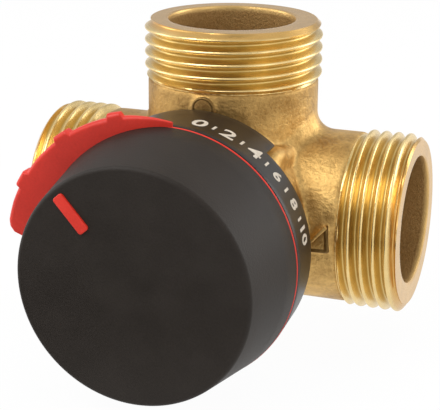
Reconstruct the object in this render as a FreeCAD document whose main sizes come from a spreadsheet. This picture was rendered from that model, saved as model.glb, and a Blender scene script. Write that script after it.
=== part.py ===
import FreeCAD, Part
import Sketcher
import math
import os

from FreeCAD import Placement, Rotation, Vector

# Three-way rotary mixing valve with a hand knob, size DN 20, G 1 male ports.
# Frame: the origin is where the three port axes cross.  X runs through the
# left and right ports, +Z through the top port, and the knob looks along -Y.
# Lengths are millimetres, angles are degrees counted from +X towards +Z.

doc = FreeCAD.newDocument("MixingValve")
sheet = doc.addObject("Spreadsheet::Sheet", "Sizes")
sheet.Label = "Sizes"

SIZES = [
    # ports
    ("port_reach", 36.0),        # port axis crossing to a port face
    ("neck_step", 0.62),         # thread crest down to the as-cast neck
    ("thread_radius", 16.62),    # half the G 1 major diameter
    ("thread_depth", 1.48),      # crest to root
    ("thread_pitch", 2.309),     # 11 threads per inch
    ("thread_start", 25.4),      # shoulder where the threaded zone begins
    ("thread_chamfer", 0.85),
    ("land_angle", 1.6),         # strip that joins the crests
    ("port_bore", 11.8),         # cored bore behind the face
    ("window_bore", 9.4),        # narrower window into the chamber
    ("bore_depth", 14.0),        # length of the wide bore
    ("core_shift_right", 0.8),   # cast core sits a little high
    ("core_shift_top", -0.4),
    ("corner_blend", 3.6),       # casting radius between two necks
    # barrel and chamber
    ("barrel_radius", 19.6),
    ("barrel_front", 22.0),      # bonnet seat, towards the knob
    ("barrel_back", 16.6),
    ("chamber_step", 0.5),       # bonnet seat down to the chamber wall
    ("chamber_floor", 12.6),
    ("seat_wall", 1.4),          # metal between a screw and the bonnet seat
    ("seat_floor", 14.0),
    ("bolt_inset", 1.2),         # barrel side to the screw circle
    ("lug_radius", 2.3),
    ("lug_depth", 8.6),
    ("screw_radius", 1.5),       # M3
    ("screw_length", 10.0),
    ("screw_head_radius", 2.7),
    ("screw_head_height", 2.0),
    ("symbol_rise", 0.6),
    # bonnet
    ("plug_clear", 0.05),
    ("plug_end", 14.2),
    ("flange_thick", 3.6),
    ("hub_clearance", 4.2),      # screw head to the bonnet hub
    ("spigot_step", 1.5),        # hub down to the spigot the ring sits on
    ("hub_front", 31.0),
    ("spigot_front", 32.5),
    ("ring_cord", 0.94),         # section radius of the bonnet O-ring
    # shaft
    ("shaft_radius", 5.0),
    ("shaft_clear", 0.05),
    ("collar_radius", 7.5),
    ("washer_thick", 1.0),
    ("drive_radius", 4.0),       # D-shaped knob end
    ("drive_flat", 3.0),         # axis to the flat
    ("drive_front", 44.0),
    ("shaft_cord", 0.71),
    ("insert_radius", 2.4),
    ("insert_length", 8.0),
    ("tang_width", 4.0),
    ("tang_length", 8.0),
    # rotor
    ("slide_gap", 0.3),          # slide to chamber wall
    ("slide_thick", 2.4),
    ("slide_angle", 88.0),
    ("plate_thick", 2.2),
    ("trunnion_radius", 3.0),
    ("trunnion_length", 2.2),
    # scale ring
    ("skirt_gap", 1.8),          # barrel to the inside of the skirt
    ("ring_flare", 0.7),         # how much the skirt opens to the front
    ("ring_wall", 1.3),
    ("ring_front", 32.6),
    ("ring_short", 23.7),        # depth of the short skirt
    ("ring_deep", 18.3),         # depth of the long sector
    ("deep_angle", 78.0),
    # knob
    ("disc_inset", 0.05),        # red disc to the ring's front edge
    ("disc_back", 32.85),
    ("disc_front", 33.3),
    ("knob_front", 50.0),
    ("knob_taper", 3.05),
    ("knob_wall", 2.1),
    ("knob_rim_round", 1.6),
    ("travel", 90.0),            # full turn between the end stops
    ("stop_half", 8.0),          # half angle of the stop tab
    ("pointer_angle", 132.4),
    ("pointer_inner", 12.2),
    ("pointer_length", 7.4),
    ("pointer_width", 1.8),
    ("pointer_rise", 0.35),
    # grip
    ("grip_front", 36.4),
    ("grip_bevel", 0.9),
    ("grip_slope", 6.3),         # lean of its front face, lower at the thin end
    ("grip_first", 88.0),        # angle of the thin end
    ("grip_last", 179.0),        # angle of the thick end
    ("grip_stand", 0.85),        # how far the thin end stands out
    ("grip_swell", 5.3),         # how much the grip grows to its thick end
    ("rib_rise", 0.75),
]


class Dim:
    """A length that carries its value together with its formula."""

    def __init__(self, value, text):
        self.value = float(value)
        self.text = text

    def _pair(self, other):
        if isinstance(other, Dim):
            return other
        return Dim(other, repr(float(other)))

    def _join(self, other, sign, value):
        return Dim(value, "(%s %s %s)" % (self.text, sign, other.text))

    def __add__(self, other):
        other = self._pair(other)
        return self._join(other, "+", self.value + other.value)

    def __radd__(self, other):
        return self._pair(other) + self

    def __sub__(self, other):
        other = self._pair(other)
        return self._join(other, "-", self.value - other.value)

    def __rsub__(self, other):
        return self._pair(other) - self

    def __mul__(self, other):
        other = self._pair(other)
        return self._join(other, "*", self.value * other.value)

    def __rmul__(self, other):
        return self._pair(other) * self

    def __truediv__(self, other):
        other = self._pair(other)
        return self._join(other, "/", self.value / other.value)

    def __neg__(self):
        return Dim(-self.value, "(0 - %s)" % self.text)


S = {}
for row, (name, number) in enumerate(SIZES, start=1):
    sheet.set("A%d" % row, name)
    sheet.set("B%d" % row, str(number))
    sheet.setAlias("B%d" % row, name)
    S[name] = Dim(number, "Sizes." + name)
doc.recompute()

# sizes that follow from the ones above, so that what fits together stays so
S["neck_radius"] = S["thread_radius"] - S["neck_step"]
S["bolt_circle"] = S["barrel_radius"] - S["bolt_inset"]
S["seat_radius"] = S["bolt_circle"] - S["screw_radius"] - S["seat_wall"]
S["hub_radius"] = S["bolt_circle"] - S["screw_head_radius"] - S["hub_clearance"]
S["spigot_radius"] = S["hub_radius"] - S["spigot_step"]
S["chamber_radius"] = S["seat_radius"] - S["chamber_step"]
S["ring_back_radius"] = S["barrel_radius"] + S["skirt_gap"] + S["ring_wall"]
S["ring_front_radius"] = S["ring_back_radius"] + S["ring_flare"]
S["disc_radius"] = S["ring_front_radius"] - S["disc_inset"]
S["knob_rim_radius"] = S["disc_radius"] - S["knob_taper"]
S["grip_thin"] = S["disc_radius"] + S["grip_stand"]
S["grip_thick"] = S["grip_thin"] + S["grip_swell"]

ZERO = Dim(0.0, "0.0")


def dim(value):
    """Turn a plain number into a Dim."""
    return value if isinstance(value, Dim) else Dim(value, repr(float(value)))


def bind(obj, prop, size):
    """Set a property and tie it to the sheet."""
    size = dim(size)
    current = getattr(obj, prop, None)
    if current is not None:
        setattr(obj, prop, size.value)
    obj.setExpression(prop, size.text)


def role_plane(body, role):
    """Find one of a body's own origin planes or axes by its role."""
    for item in body.Origin.OriginFeatures:
        if item.Role == role:
            return item
    raise ValueError(role)


def new_body(label):
    body = doc.addObject("PartDesign::Body", label)
    body.Label = label
    return body


def sketch_on(body, role, label):
    sketch = body.newObject("Sketcher::SketchObject", label)
    sketch.AttachmentSupport = [(role_plane(body, role), "")]
    sketch.MapMode = "FlatFace"
    return sketch


def hold_point(sketch, geo, pos, x, y):
    """Place one point of a sketch with two driven distances."""
    for kind, size in (("DistanceX", dim(x)), ("DistanceY", dim(y))):
        if abs(size.value) < 1e-9 and size.text == "0.0":
            if kind == "DistanceX":
                sketch.addConstraint(Sketcher.Constraint("PointOnObject", geo, pos, -2))
            else:
                sketch.addConstraint(Sketcher.Constraint("PointOnObject", geo, pos, -1))
            continue
        index = sketch.addConstraint(
            Sketcher.Constraint(kind, -1, 1, geo, pos, size.value))
        sketch.setExpression("Constraints[%d]" % index, size.text)


def polygon(sketch, points):
    """Draw a closed outline through driven points."""
    count = len(points)
    spots = [Vector(dim(x).value, dim(y).value, 0) for x, y in points]
    for i in range(count):
        sketch.addGeometry(Part.LineSegment(spots[i], spots[(i + 1) % count]), False)
    for i in range(count):
        sketch.addConstraint(
            Sketcher.Constraint("Coincident", i, 2, (i + 1) % count, 1))
    for i, (x, y) in enumerate(points):
        hold_point(sketch, i, 1, x, y)
    return sketch


def circle(sketch, x, y, radius):
    radius = dim(radius)
    geo = sketch.addGeometry(
        Part.Circle(Vector(dim(x).value, dim(y).value, 0), Vector(0, 0, 1),
                    radius.value), False)
    hold_point(sketch, geo, 3, x, y)
    index = sketch.addConstraint(Sketcher.Constraint("Radius", geo, radius.value))
    sketch.setExpression("Constraints[%d]" % index, radius.text)
    return geo


def turned(body, label, points, cut=False, angle=360.0):
    """Turn a (radius, y) outline about the knob axis."""
    sketch = sketch_on(body, "XY_Plane", label + "Outline")
    polygon(sketch, points)
    kind = "PartDesign::Groove" if cut else "PartDesign::Revolution"
    feature = body.newObject(kind, label)
    feature.Profile = sketch
    feature.ReferenceAxis = (sketch, ["V_Axis"])
    bind(feature, "Angle", angle)
    sketch.Visibility = False
    doc.recompute()
    return feature


def raised(body, label, sketch, length, back=False, cut=False):
    """Pad or pocket a sketch by a driven length."""
    kind = "PartDesign::Pocket" if cut else "PartDesign::Pad"
    feature = body.newObject(kind, label)
    feature.Profile = sketch
    bind(feature, "Length", length)
    feature.Reversed = back
    doc.recompute()
    return feature


def cylinder(label, radius, height, base, direction):
    """A Part cylinder standing on a driven base point."""
    obj = doc.addObject("Part::Cylinder", label)
    obj.Label = label
    bind(obj, "Radius", radius)
    bind(obj, "Height", height)
    obj.Placement = Placement(Vector(*[dim(v).value for v in base]),
                              Rotation(Vector(0, 0, 1), Vector(*direction)))
    for axis, size in zip("xyz", base):
        if isinstance(size, Dim):
            obj.setExpression("Placement.Base." + axis, size.text)
    return obj


def fused(label, shapes):
    obj = doc.addObject("Part::MultiFuse", label)
    obj.Label = label
    obj.Shapes = shapes
    return obj


def cut_from(label, base, tool):
    obj = doc.addObject("Part::Cut", label)
    obj.Label = label
    obj.Base = base
    obj.Tool = tool
    return obj


def front(size):
    """Distance towards the knob, as a Y coordinate."""
    return -dim(size)


def rim_edges(shape, y, radius, slack=0.02):
    """Names of the circular edges at one level and radius."""
    names = []
    for index, edge in enumerate(shape.Edges, start=1):
        curve = edge.Curve
        if isinstance(curve, Part.Circle) and abs(curve.Radius - radius) < slack:
            if abs(curve.Center.y - y) < slack:
                names.append("Edge%d" % index)
    return names


# ---------------------------------------------------------------- casting

def threaded_neck(label, turn):
    """One neck with its G 1 thread, turned about its own Z axis.

    The thread is cut as ring-shaped V grooves at the true pitch and depth, so
    every crest stays a true cylinder that a gauge or a union nut can sit on.  A
    narrow land joins the crests into one wall, as the turns of a helix do.
    """
    neck = new_body(label)
    sketch = sketch_on(neck, "XZ_Plane", label + "Outline")
    crest, root = S["thread_radius"], S["thread_radius"] - S["thread_depth"]
    half_root = 0.12
    half_top = S["thread_depth"] * math.tan(math.radians(27.5)) + half_root
    first_crest = S["thread_start"] + S["neck_step"]
    last_crest = S["port_reach"] - S["thread_chamfer"]
    points = [(ZERO, dim(4.0)), (S["neck_radius"], dim(4.0)),
              (S["neck_radius"], S["thread_start"]), (crest, first_crest)]
    turns = int((last_crest.value - first_crest.value + 0.3) / S["thread_pitch"].value)
    for number in range(turns - 1, -1, -1):
        centre = last_crest - 0.26 - half_top - S["thread_pitch"] * number
        points += [(crest, centre - half_top), (root, centre - half_root),
                   (root, centre + half_root), (crest, centre + half_top)]
    points += [(crest, last_crest), (crest - S["thread_chamfer"], S["port_reach"]),
               (ZERO, S["port_reach"])]
    polygon(sketch, points)
    spin = neck.newObject("PartDesign::Revolution", label + "Turned")
    spin.Profile = sketch
    spin.ReferenceAxis = (sketch, ["V_Axis"])
    spin.Angle = 360.0
    strip = sketch_on(neck, "XZ_Plane", label + "LandOutline")
    polygon(strip, [(root - 0.4, first_crest), (crest, first_crest),
                    (crest, last_crest), (root - 0.4, last_crest)])
    land = neck.newObject("PartDesign::Revolution", label + "Land")
    land.Profile = strip
    land.ReferenceAxis = (strip, ["V_Axis"])
    bind(land, "Angle", S["land_angle"])
    neck.Placement = Placement(Vector(0, 0, 0), turn)
    return neck


def corner_blend(label, side):
    """Casting fillet in the corner between the top neck and a side neck."""
    sections = []
    for number, depth in enumerate((-13.0, -10.0, -6.0, 0.0, 6.0, 10.0, 13.0)):
        wide = math.sqrt(S["neck_radius"].value ** 2 - depth ** 2)
        size = S["corner_blend"].value * (1.0 - (depth / 16.0) ** 2)
        inner = wide - 1.2
        corner = Vector(side * inner, depth, inner)
        along_x = Vector(side * (wide + size), depth, inner)
        on_x = Vector(side * (wide + size), depth, wide)
        middle = wide + size * (1.0 - math.sqrt(0.5))
        on_z = Vector(side * wide, depth, wide + size)
        along_z = Vector(side * inner, depth, wide + size)
        wire = Part.Wire([
            Part.makeLine(corner, along_x), Part.makeLine(along_x, on_x),
            Part.Arc(on_x, Vector(side * middle, depth, middle), on_z).toShape(),
            Part.makeLine(on_z, along_z), Part.makeLine(along_z, corner)])
        section = doc.addObject("Part::Feature", "%sSection%d" % (label, number))
        section.Shape = wire
        sections.append(section)
    loft = doc.addObject("Part::Loft", label)
    loft.Sections = sections
    loft.Solid = True
    loft.Ruled = False
    return loft


def triangle_mark():
    """Raised triangle on the right neck."""
    body = new_body("TriangleMark")
    sketch = sketch_on(body, "XZ_Plane", "TriangleOutline")
    base = S["thread_start"] - 1.3
    polygon(sketch, [(base - 5.3, dim(-1.9)), (base, dim(-1.7)),
                     (base - 0.4, dim(3.2))])
    raised(body, "TrianglePad", sketch, S["neck_radius"] + S["symbol_rise"])
    return body


def square_mark():
    """Raised square on the left neck."""
    body = new_body("SquareMark")
    sketch = sketch_on(body, "XZ_Plane", "SquareOutline")
    far = 1.4 - S["thread_start"]
    polygon(sketch, [(far, dim(-2.1)), (far + 4.2, dim(-2.1)),
                     (far + 4.2, dim(2.1)), (far, dim(2.1))])
    raised(body, "SquarePad", sketch, S["neck_radius"] + S["symbol_rise"])
    return body


def build_casting():
    right = threaded_neck("RightNeck", Rotation(Vector(0, 1, 0), 90))
    left = threaded_neck("LeftNeck", Rotation(Vector(0, 1, 0), -90))
    top = threaded_neck("TopNeck", Rotation())

    barrel = new_body("Barrel")
    turned(barrel, "BarrelTurned", [
        (ZERO, front(S["barrel_front"])),
        (S["barrel_radius"], front(S["barrel_front"])),
        (S["barrel_radius"], S["barrel_back"] - 3.0),
        (S["barrel_radius"] - 1.0, S["barrel_back"] - 0.9),
        (S["barrel_radius"] - 3.2, S["barrel_back"]),
        (ZERO, S["barrel_back"]),
    ])
    pieces = [right, left, top, barrel,
              corner_blend("RightBlend", 1), corner_blend("LeftBlend", -1),
              triangle_mark(), square_mark()]
    pieces.append(cylinder("RoundMark", dim(2.05), S["neck_radius"] + S["symbol_rise"],
                           (0.0, 0.0, S["thread_start"] - 3.0), (0, -1, 0)))
    for number in range(4):
        angle = math.radians(45 + 90 * number)
        spot = (S["bolt_circle"] * math.cos(angle), front(S["barrel_front"]),
                S["bolt_circle"] * math.sin(angle))
        pieces.append(cylinder("Lug%d" % (number + 1), S["lug_radius"],
                               S["barrel_front"] - S["lug_depth"], spot, (0, 1, 0)))
    outside = fused("CastingOutside", pieces)

    chamber = new_body("Chamber")
    trunnion_hole = S["trunnion_radius"] + S["shaft_clear"]
    turned(chamber, "ChamberTurned", [
        (ZERO, front(S["barrel_front"] + 2.0)),
        (S["seat_radius"], front(S["barrel_front"] + 2.0)),
        (S["seat_radius"], front(S["seat_floor"])),
        (S["chamber_radius"], front(S["seat_floor"])),
        (S["chamber_radius"], S["chamber_floor"]),
        (trunnion_hole, S["chamber_floor"]),
        (trunnion_hole, S["chamber_floor"] + S["trunnion_length"]),
        (ZERO, S["chamber_floor"] + S["trunnion_length"]),
    ])
    tools = [chamber]
    ports = (("Right", Rotation(Vector(0, 1, 0), 90), ZERO, S["core_shift_right"]),
             ("Left", Rotation(Vector(0, 1, 0), -90), ZERO, ZERO),
             ("Top", Rotation(), S["core_shift_top"], ZERO))
    for name, turn, shift_x, shift_z in ports:
        bore = new_body(name + "Bore")
        sketch = sketch_on(bore, "XZ_Plane", name + "BoreOutline")
        floor = S["port_reach"] - S["bore_depth"]
        taper = S["port_bore"] - S["window_bore"]
        polygon(sketch, [
            (ZERO, dim(6.0)), (S["window_bore"], dim(6.0)),
            (S["window_bore"], floor - taper), (S["port_bore"], floor),
            (S["port_bore"], S["port_reach"] + 1.0), (ZERO, S["port_reach"] + 1.0)])
        spin = bore.newObject("PartDesign::Revolution", name + "BoreTurned")
        spin.Profile = sketch
        spin.ReferenceAxis = (sketch, ["V_Axis"])
        spin.Angle = 360.0
        bore.Placement = Placement(Vector(shift_x.value, 0, shift_z.value), turn)
        if shift_x is not ZERO:
            bore.setExpression("Placement.Base.x", shift_x.text)
        if shift_z is not ZERO:
            bore.setExpression("Placement.Base.z", shift_z.text)
        tools.append(bore)
    for number in range(4):
        angle = math.radians(45 + 90 * number)
        spot = (S["bolt_circle"] * math.cos(angle), front(S["barrel_front"] + 1.0),
                S["bolt_circle"] * math.sin(angle))
        tools.append(cylinder("ScrewHole%d" % (number + 1), S["screw_radius"] + 0.02,
                              S["screw_length"], spot, (0, 1, 0)))
    return cut_from("valve_body", outside, fused("CastingInside", tools))


# ---------------------------------------------------------------- bonnet

def build_bonnet():
    body = new_body("bonnet")
    plug = S["seat_radius"] - S["plug_clear"]
    face = S["barrel_front"]
    top = face + S["flange_thick"]
    bore = S["shaft_radius"] + S["shaft_clear"]
    pocket = S["collar_radius"] + 0.4
    pocket_floor = S["plug_end"] + 3.2
    groove = plug - S["ring_cord"] * 2.0 + 0.02
    turned(body, "BonnetTurned", [
        (pocket, front(S["plug_end"])),
        (plug, front(S["plug_end"])),
        (plug, front(S["plug_end"] + 2.6)),
        (groove, front(S["plug_end"] + 2.6)),
        (groove, front(S["plug_end"] + 4.8)),
        (plug, front(S["plug_end"] + 4.8)),
        (plug, front(face)),
        (S["barrel_radius"], front(face)),
        (S["barrel_radius"], front(top)),
        (S["hub_radius"], front(top)),
        (S["hub_radius"], front(S["hub_front"])),
        (S["spigot_radius"], front(S["hub_front"])),
        (S["spigot_radius"], front(S["spigot_front"])),
        (bore, front(S["spigot_front"])),
        (bore, front(pocket_floor)),
        (pocket, front(pocket_floor)),
    ])
    # four ears over the casting lugs; the hub is trimmed for the screw heads
    ears = sketch_on(body, "XZ_Plane", "EarCircles")
    for number in range(4):
        angle = math.radians(45 + 90 * number)
        circle(ears, S["bolt_circle"] * math.cos(angle),
               S["bolt_circle"] * math.sin(angle), S["lug_radius"])
    ears.AttachmentOffset = Placement(Vector(0, 0, face.value), Rotation())
    ears.setExpression("AttachmentOffset.Base.z", face.text)
    raised(body, "Ears", ears, S["flange_thick"])
    holes = sketch_on(body, "XZ_Plane", "HoleCircles")
    for number in range(4):
        angle = math.radians(45 + 90 * number)
        circle(holes, S["bolt_circle"] * math.cos(angle),
               S["bolt_circle"] * math.sin(angle), S["screw_radius"] + 0.2)
    holes.AttachmentOffset = Placement(Vector(0, 0, (top + 1.0).value), Rotation())
    holes.setExpression("AttachmentOffset.Base.z", (top + 1.0).text)
    raised(body, "ScrewHoles", holes, S["flange_thick"] + 2.0, cut=True)
    # the stop tab that limits the turn of the knob
    tab = sketch_on(body, "XZ_Plane", "StopTabOutline")
    half = math.radians(S["stop_half"].value)
    inner, outer = 7.6, S["spigot_radius"].value - 0.2
    spots = []
    for radius, side in ((inner, -1), (outer, -1), (outer, 1), (inner, 1)):
        spots.append((dim(radius * math.sin(side * half)),
                      dim(-radius * math.cos(side * half))))
    polygon(tab, spots)
    tab.AttachmentOffset = Placement(Vector(0, 0, S["spigot_front"].value - 1.0),
                                     Rotation())
    tab.setExpression("AttachmentOffset.Base.z", (S["spigot_front"] - 1.0).text)
    raised(body, "StopTab", tab, dim(3.2))
    return body


def build_bonnet_o_ring():
    body = new_body("bonnet_o_ring")
    sketch = sketch_on(body, "XY_Plane", "CordSection")
    circle(sketch, S["seat_radius"] - S["ring_cord"] - 0.02,
           front(S["plug_end"] + 3.7), S["ring_cord"])
    spin = body.newObject("PartDesign::Revolution", "Cord")
    spin.Profile = sketch
    spin.ReferenceAxis = (sketch, ["V_Axis"])
    spin.Angle = 360.0
    return body


def build_screw(number):
    """Pan head screw with a six-sided socket."""
    label = "bonnet_screw_%d" % number
    body = new_body(label)
    seat = S["barrel_front"] + S["flange_thick"]
    head = seat + S["screw_head_height"]
    turned(body, label + "Turned", [
        (ZERO, front(seat - S["screw_length"])),
        (S["screw_radius"] - 0.4, front(seat - S["screw_length"])),
        (S["screw_radius"], front(seat - S["screw_length"] + 0.4)),
        (S["screw_radius"], front(seat)),
        (S["screw_head_radius"], front(seat)),
        (S["screw_head_radius"], front(head - 0.7)),
        (S["screw_head_radius"] - 0.7, front(head)),
        (ZERO, front(head)),
    ])
    socket = sketch_on(body, "XZ_Plane", label + "Socket")
    points = []
    for corner in range(6):
        angle = math.radians(60 * corner)
        points.append((dim(1.25 * math.cos(angle)), dim(1.25 * math.sin(angle))))
    polygon(socket, points)
    socket.AttachmentOffset = Placement(Vector(0, 0, head.value), Rotation())
    socket.setExpression("AttachmentOffset.Base.z", head.text)
    raised(body, label + "SocketCut", socket, dim(1.3), cut=True)
    angle = math.radians(45 + 90 * (number - 1))
    spot = (S["bolt_circle"] * math.cos(angle), S["bolt_circle"] * math.sin(angle))
    body.Placement = Placement(Vector(spot[0].value, 0, spot[1].value), Rotation())
    body.setExpression("Placement.Base.x", spot[0].text)
    body.setExpression("Placement.Base.z", spot[1].text)
    return body


# ---------------------------------------------------------------- shaft

GROOVES = (20.2, 24.0)      # levels of the two shaft seals
GROOVE_WIDTH = 1.9


def build_shaft():
    body = new_body("shaft")
    r = S["shaft_radius"]
    groove = r + S["shaft_clear"] - S["shaft_cord"] * 2.0 - 0.02
    collar_front = S["plug_end"] + 3.2 - S["washer_thick"]
    collar_back = S["plug_end"] - 0.1
    points = [(ZERO, front(collar_back)), (S["collar_radius"], front(collar_back)),
              (S["collar_radius"], front(collar_front)), (r, front(collar_front))]
    for level in GROOVES:
        for radius, step in ((r, -0.5), (groove, -0.5), (groove, 0.5), (r, 0.5)):
            points.append((radius, front(dim(level + step * GROOVE_WIDTH))))
    step_front = S["spigot_front"] + 1.8
    points += [(r, front(step_front)), (S["drive_radius"], front(step_front)),
               (S["drive_radius"], front(S["drive_front"] - 0.6)),
               (S["drive_radius"] - 0.6, front(S["drive_front"])),
               (ZERO, front(S["drive_front"]))]
    turned(body, "ShaftTurned", points)
    flat = sketch_on(body, "XZ_Plane", "DriveFlat")
    clear = S["drive_radius"] + 2.0
    polygon(flat, [(S["drive_flat"], -clear), (clear, -clear), (clear, clear),
                   (S["drive_flat"], clear)])
    flat.AttachmentOffset = Placement(Vector(0, 0, (S["drive_front"] + 1.0).value),
                                      Rotation())
    flat.setExpression("AttachmentOffset.Base.z", (S["drive_front"] + 1.0).text)
    raised(body, "DriveFlatCut", flat, S["drive_front"] + 1.0 - step_front, cut=True)
    hole = sketch_on(body, "XZ_Plane", "InsertHole")
    circle(hole, ZERO, ZERO, S["insert_radius"])
    hole.AttachmentOffset = Placement(Vector(0, 0, S["drive_front"].value), Rotation())
    hole.setExpression("AttachmentOffset.Base.z", S["drive_front"].text)
    raised(body, "InsertHoleCut", hole, S["insert_length"], cut=True)
    tang = sketch_on(body, "XZ_Plane", "TangOutline")
    half_l, half_w = S["tang_length"] / 2.0, S["tang_width"] / 2.0
    polygon(tang, [(-half_l, -half_w), (half_l, -half_w), (half_l, half_w),
                   (-half_l, half_w)])
    tang_back = S["chamber_floor"] - 0.5 - S["plate_thick"] + 0.1
    tang.AttachmentOffset = Placement(Vector(0, 0, tang_back.value), Rotation())
    tang.setExpression("AttachmentOffset.Base.z", tang_back.text)
    raised(body, "Tang", tang, collar_back - tang_back + 0.5)
    return body


def build_shaft_insert():
    """Threaded brass bush moulded into the end of the shaft."""
    body = new_body("shaft_insert")
    turned(body, "InsertTurned", [
        (dim(1.25), front(S["drive_front"] - S["insert_length"])),
        (S["insert_radius"], front(S["drive_front"] - S["insert_length"])),
        (S["insert_radius"], front(S["drive_front"])),
        (dim(1.6), front(S["drive_front"])),
        (dim(1.25), front(S["drive_front"] - 0.35)),
    ])
    return body


def build_shaft_o_ring(number, level):
    label = "shaft_o_ring_%d" % number
    body = new_body(label)
    sketch = sketch_on(body, "XY_Plane", label + "Section")
    circle(sketch, S["shaft_radius"] + S["shaft_clear"] - S["shaft_cord"] - 0.01,
           front(dim(level)), S["shaft_cord"])
    spin = body.newObject("PartDesign::Revolution", label + "Cord")
    spin.Profile = sketch
    spin.ReferenceAxis = (sketch, ["V_Axis"])
    spin.Angle = 360.0
    return body


def build_thrust_washer():
    body = new_body("thrust_washer")
    back = S["plug_end"] + 3.2 - S["washer_thick"]
    turned(body, "WasherTurned", [
        (S["shaft_radius"] + 0.1, front(back)),
        (S["collar_radius"] + 0.2, front(back)),
        (S["collar_radius"] + 0.2, front(back + S["washer_thick"])),
        (S["shaft_radius"] + 0.1, front(back + S["washer_thick"])),
    ])
    return body


def build_rotor():
    """Slide that covers a port window, carried between two end plates."""
    body = new_body("rotor")
    outer = S["chamber_radius"] - S["slide_gap"]
    inner = outer - S["slide_thick"]
    end = S["chamber_floor"] - 0.5
    plate = end - S["plate_thick"]
    turned(body, "Hubs", [
        (ZERO, plate), (dim(6.6), plate), (dim(6.6), end),
        (S["trunnion_radius"], end),
        (S["trunnion_radius"], end + S["trunnion_length"] + 0.1),
        (ZERO, end + S["trunnion_length"] + 0.1)])
    turned(body, "TopHub", [
        (ZERO, front(end)), (dim(6.6), front(end)), (dim(6.6), front(plate)),
        (ZERO, front(plate))])
    sketch = sketch_on(body, "XY_Plane", "SlideOutline")
    polygon(sketch, [
        (dim(0.5), front(end)), (outer, front(end)), (outer, end), (dim(0.5), end),
        (dim(0.5), plate), (inner, plate), (inner, front(plate)),
        (dim(0.5), front(plate))])
    slide = body.newObject("PartDesign::Revolution", "Slide")
    slide.Profile = sketch
    slide.ReferenceAxis = (sketch, ["V_Axis"])
    slide.Midplane = True
    bind(slide, "Angle", S["slide_angle"])
    doc.recompute()
    slot = sketch_on(body, "XZ_Plane", "SlotOutline")
    half_l, half_w = S["tang_length"] / 2.0 + 0.05, S["tang_width"] / 2.0 + 0.05
    points = []
    turn = math.radians(-45)
    for u, v in ((-1, -1), (1, -1), (1, 1), (-1, 1)):
        points.append((half_l * (u * math.cos(turn)) - half_w * (v * math.sin(turn)),
                       half_l * (u * math.sin(turn)) + half_w * (v * math.cos(turn))))
    polygon(slot, points)
    slot.AttachmentOffset = Placement(Vector(0, 0, (end + 0.5).value), Rotation())
    slot.setExpression("AttachmentOffset.Base.z", (end + 0.5).text)
    raised(body, "Slot", slot, S["plate_thick"] + 1.0, cut=True)
    body.Placement = Placement(Vector(0, 0, 0), Rotation(Vector(0, 1, 0), -45))
    return body


# ---------------------------------------------------------------- scale ring

def ring_radius(level):
    """Outside radius of the tapering skirt at a distance from the axis."""
    slope = (S["ring_front_radius"] - S["ring_back_radius"]) / (
        S["ring_front"] - S["ring_deep"])
    return S["ring_back_radius"] + slope * (level - S["ring_deep"])


def build_scale_ring():
    body = new_body("scale_ring")
    wall = S["ring_wall"]
    short, deep, face = S["ring_short"], S["ring_deep"], S["ring_front"]
    turned(body, "SkirtTurned", [
        (S["spigot_radius"] + 0.05, front(face)),
        (ring_radius(face) - 0.3, front(face)),
        (ring_radius(face), front(face - 0.3)),
        (ring_radius(short), front(short)),
        (ring_radius(short) - wall, front(short)),
        (ring_radius(face) - wall, front(face - 1.6)),
        (S["spigot_radius"] + 0.05, front(face - 1.6)),
    ])
    sketch = sketch_on(body, "XY_Plane", "SectorOutline")
    polygon(sketch, [
        (ring_radius(short + 0.5) - wall, front(short + 0.5)),
        (ring_radius(short + 0.5), front(short + 0.5)),
        (ring_radius(deep), front(deep)),
        (ring_radius(deep) - wall, front(deep))])
    sector = body.newObject("PartDesign::Revolution", "Sector")
    sector.Profile = sketch
    sector.ReferenceAxis = (sketch, ["V_Axis"])
    sector.Midplane = True
    bind(sector, "Angle", S["deep_angle"])
    doc.recompute()
    body.Placement = Placement(Vector(0, 0, 0), Rotation(Vector(0, 1, 0), -90))
    return body


# ---------------------------------------------------------------- knob

def knob_radius(level):
    """Outside radius of the tapering knob at a distance from the axis."""
    slope = (S["disc_radius"] - 0.05 - S["knob_rim_radius"]) / (
        S["knob_front"] - S["disc_front"])
    return S["disc_radius"] - 0.05 - slope * (level - S["disc_front"])


def pointer_outline(sketch, grow):
    """Bar outline along the local X axis."""
    half = S["pointer_width"] / 2.0 + grow
    start = S["pointer_inner"] - grow
    end = S["pointer_inner"] + S["pointer_length"] + grow
    nip = 0.5
    polygon(sketch, [
        (start + nip, -half), (end - nip, -half), (end, -half + nip),
        (end, half - nip), (end - nip, half), (start + nip, half),
        (start, half - nip), (start, -half + nip)])


def build_knob_cover():
    body = new_body("knob_cover")
    wall = S["knob_wall"]
    base, face = S["disc_front"], S["knob_front"]
    shell = turned(body, "CoverTurned", [
        (knob_radius(base) - wall, front(base)),
        (knob_radius(base), front(base)),
        (knob_radius(face), front(face)),
        (ZERO, front(face)),
        (ZERO, front(face - wall)),
        (knob_radius(face - wall) - wall, front(face - wall)),
    ])
    rim = body.newObject("PartDesign::Fillet", "RimRound")
    rim.Base = (shell, rim_edges(shell.Shape, -face.value, knob_radius(face).value))
    bind(rim, "Radius", S["knob_rim_round"])
    doc.recompute()
    slot = sketch_on(body, "XZ_Plane", "PointerSlot")
    pointer_outline(slot, 0.0)
    slot.AttachmentOffset = Placement(Vector(0, 0, (face + 0.5).value), Rotation())
    slot.setExpression("AttachmentOffset.Base.z", (face + 0.5).text)
    raised(body, "PointerSlotCut", slot, face + 0.5 - base, cut=True)
    body.Placement = Placement(Vector(0, 0, 0),
                               Rotation(Vector(0, 1, 0), -S["pointer_angle"].value))
    return body


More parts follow.
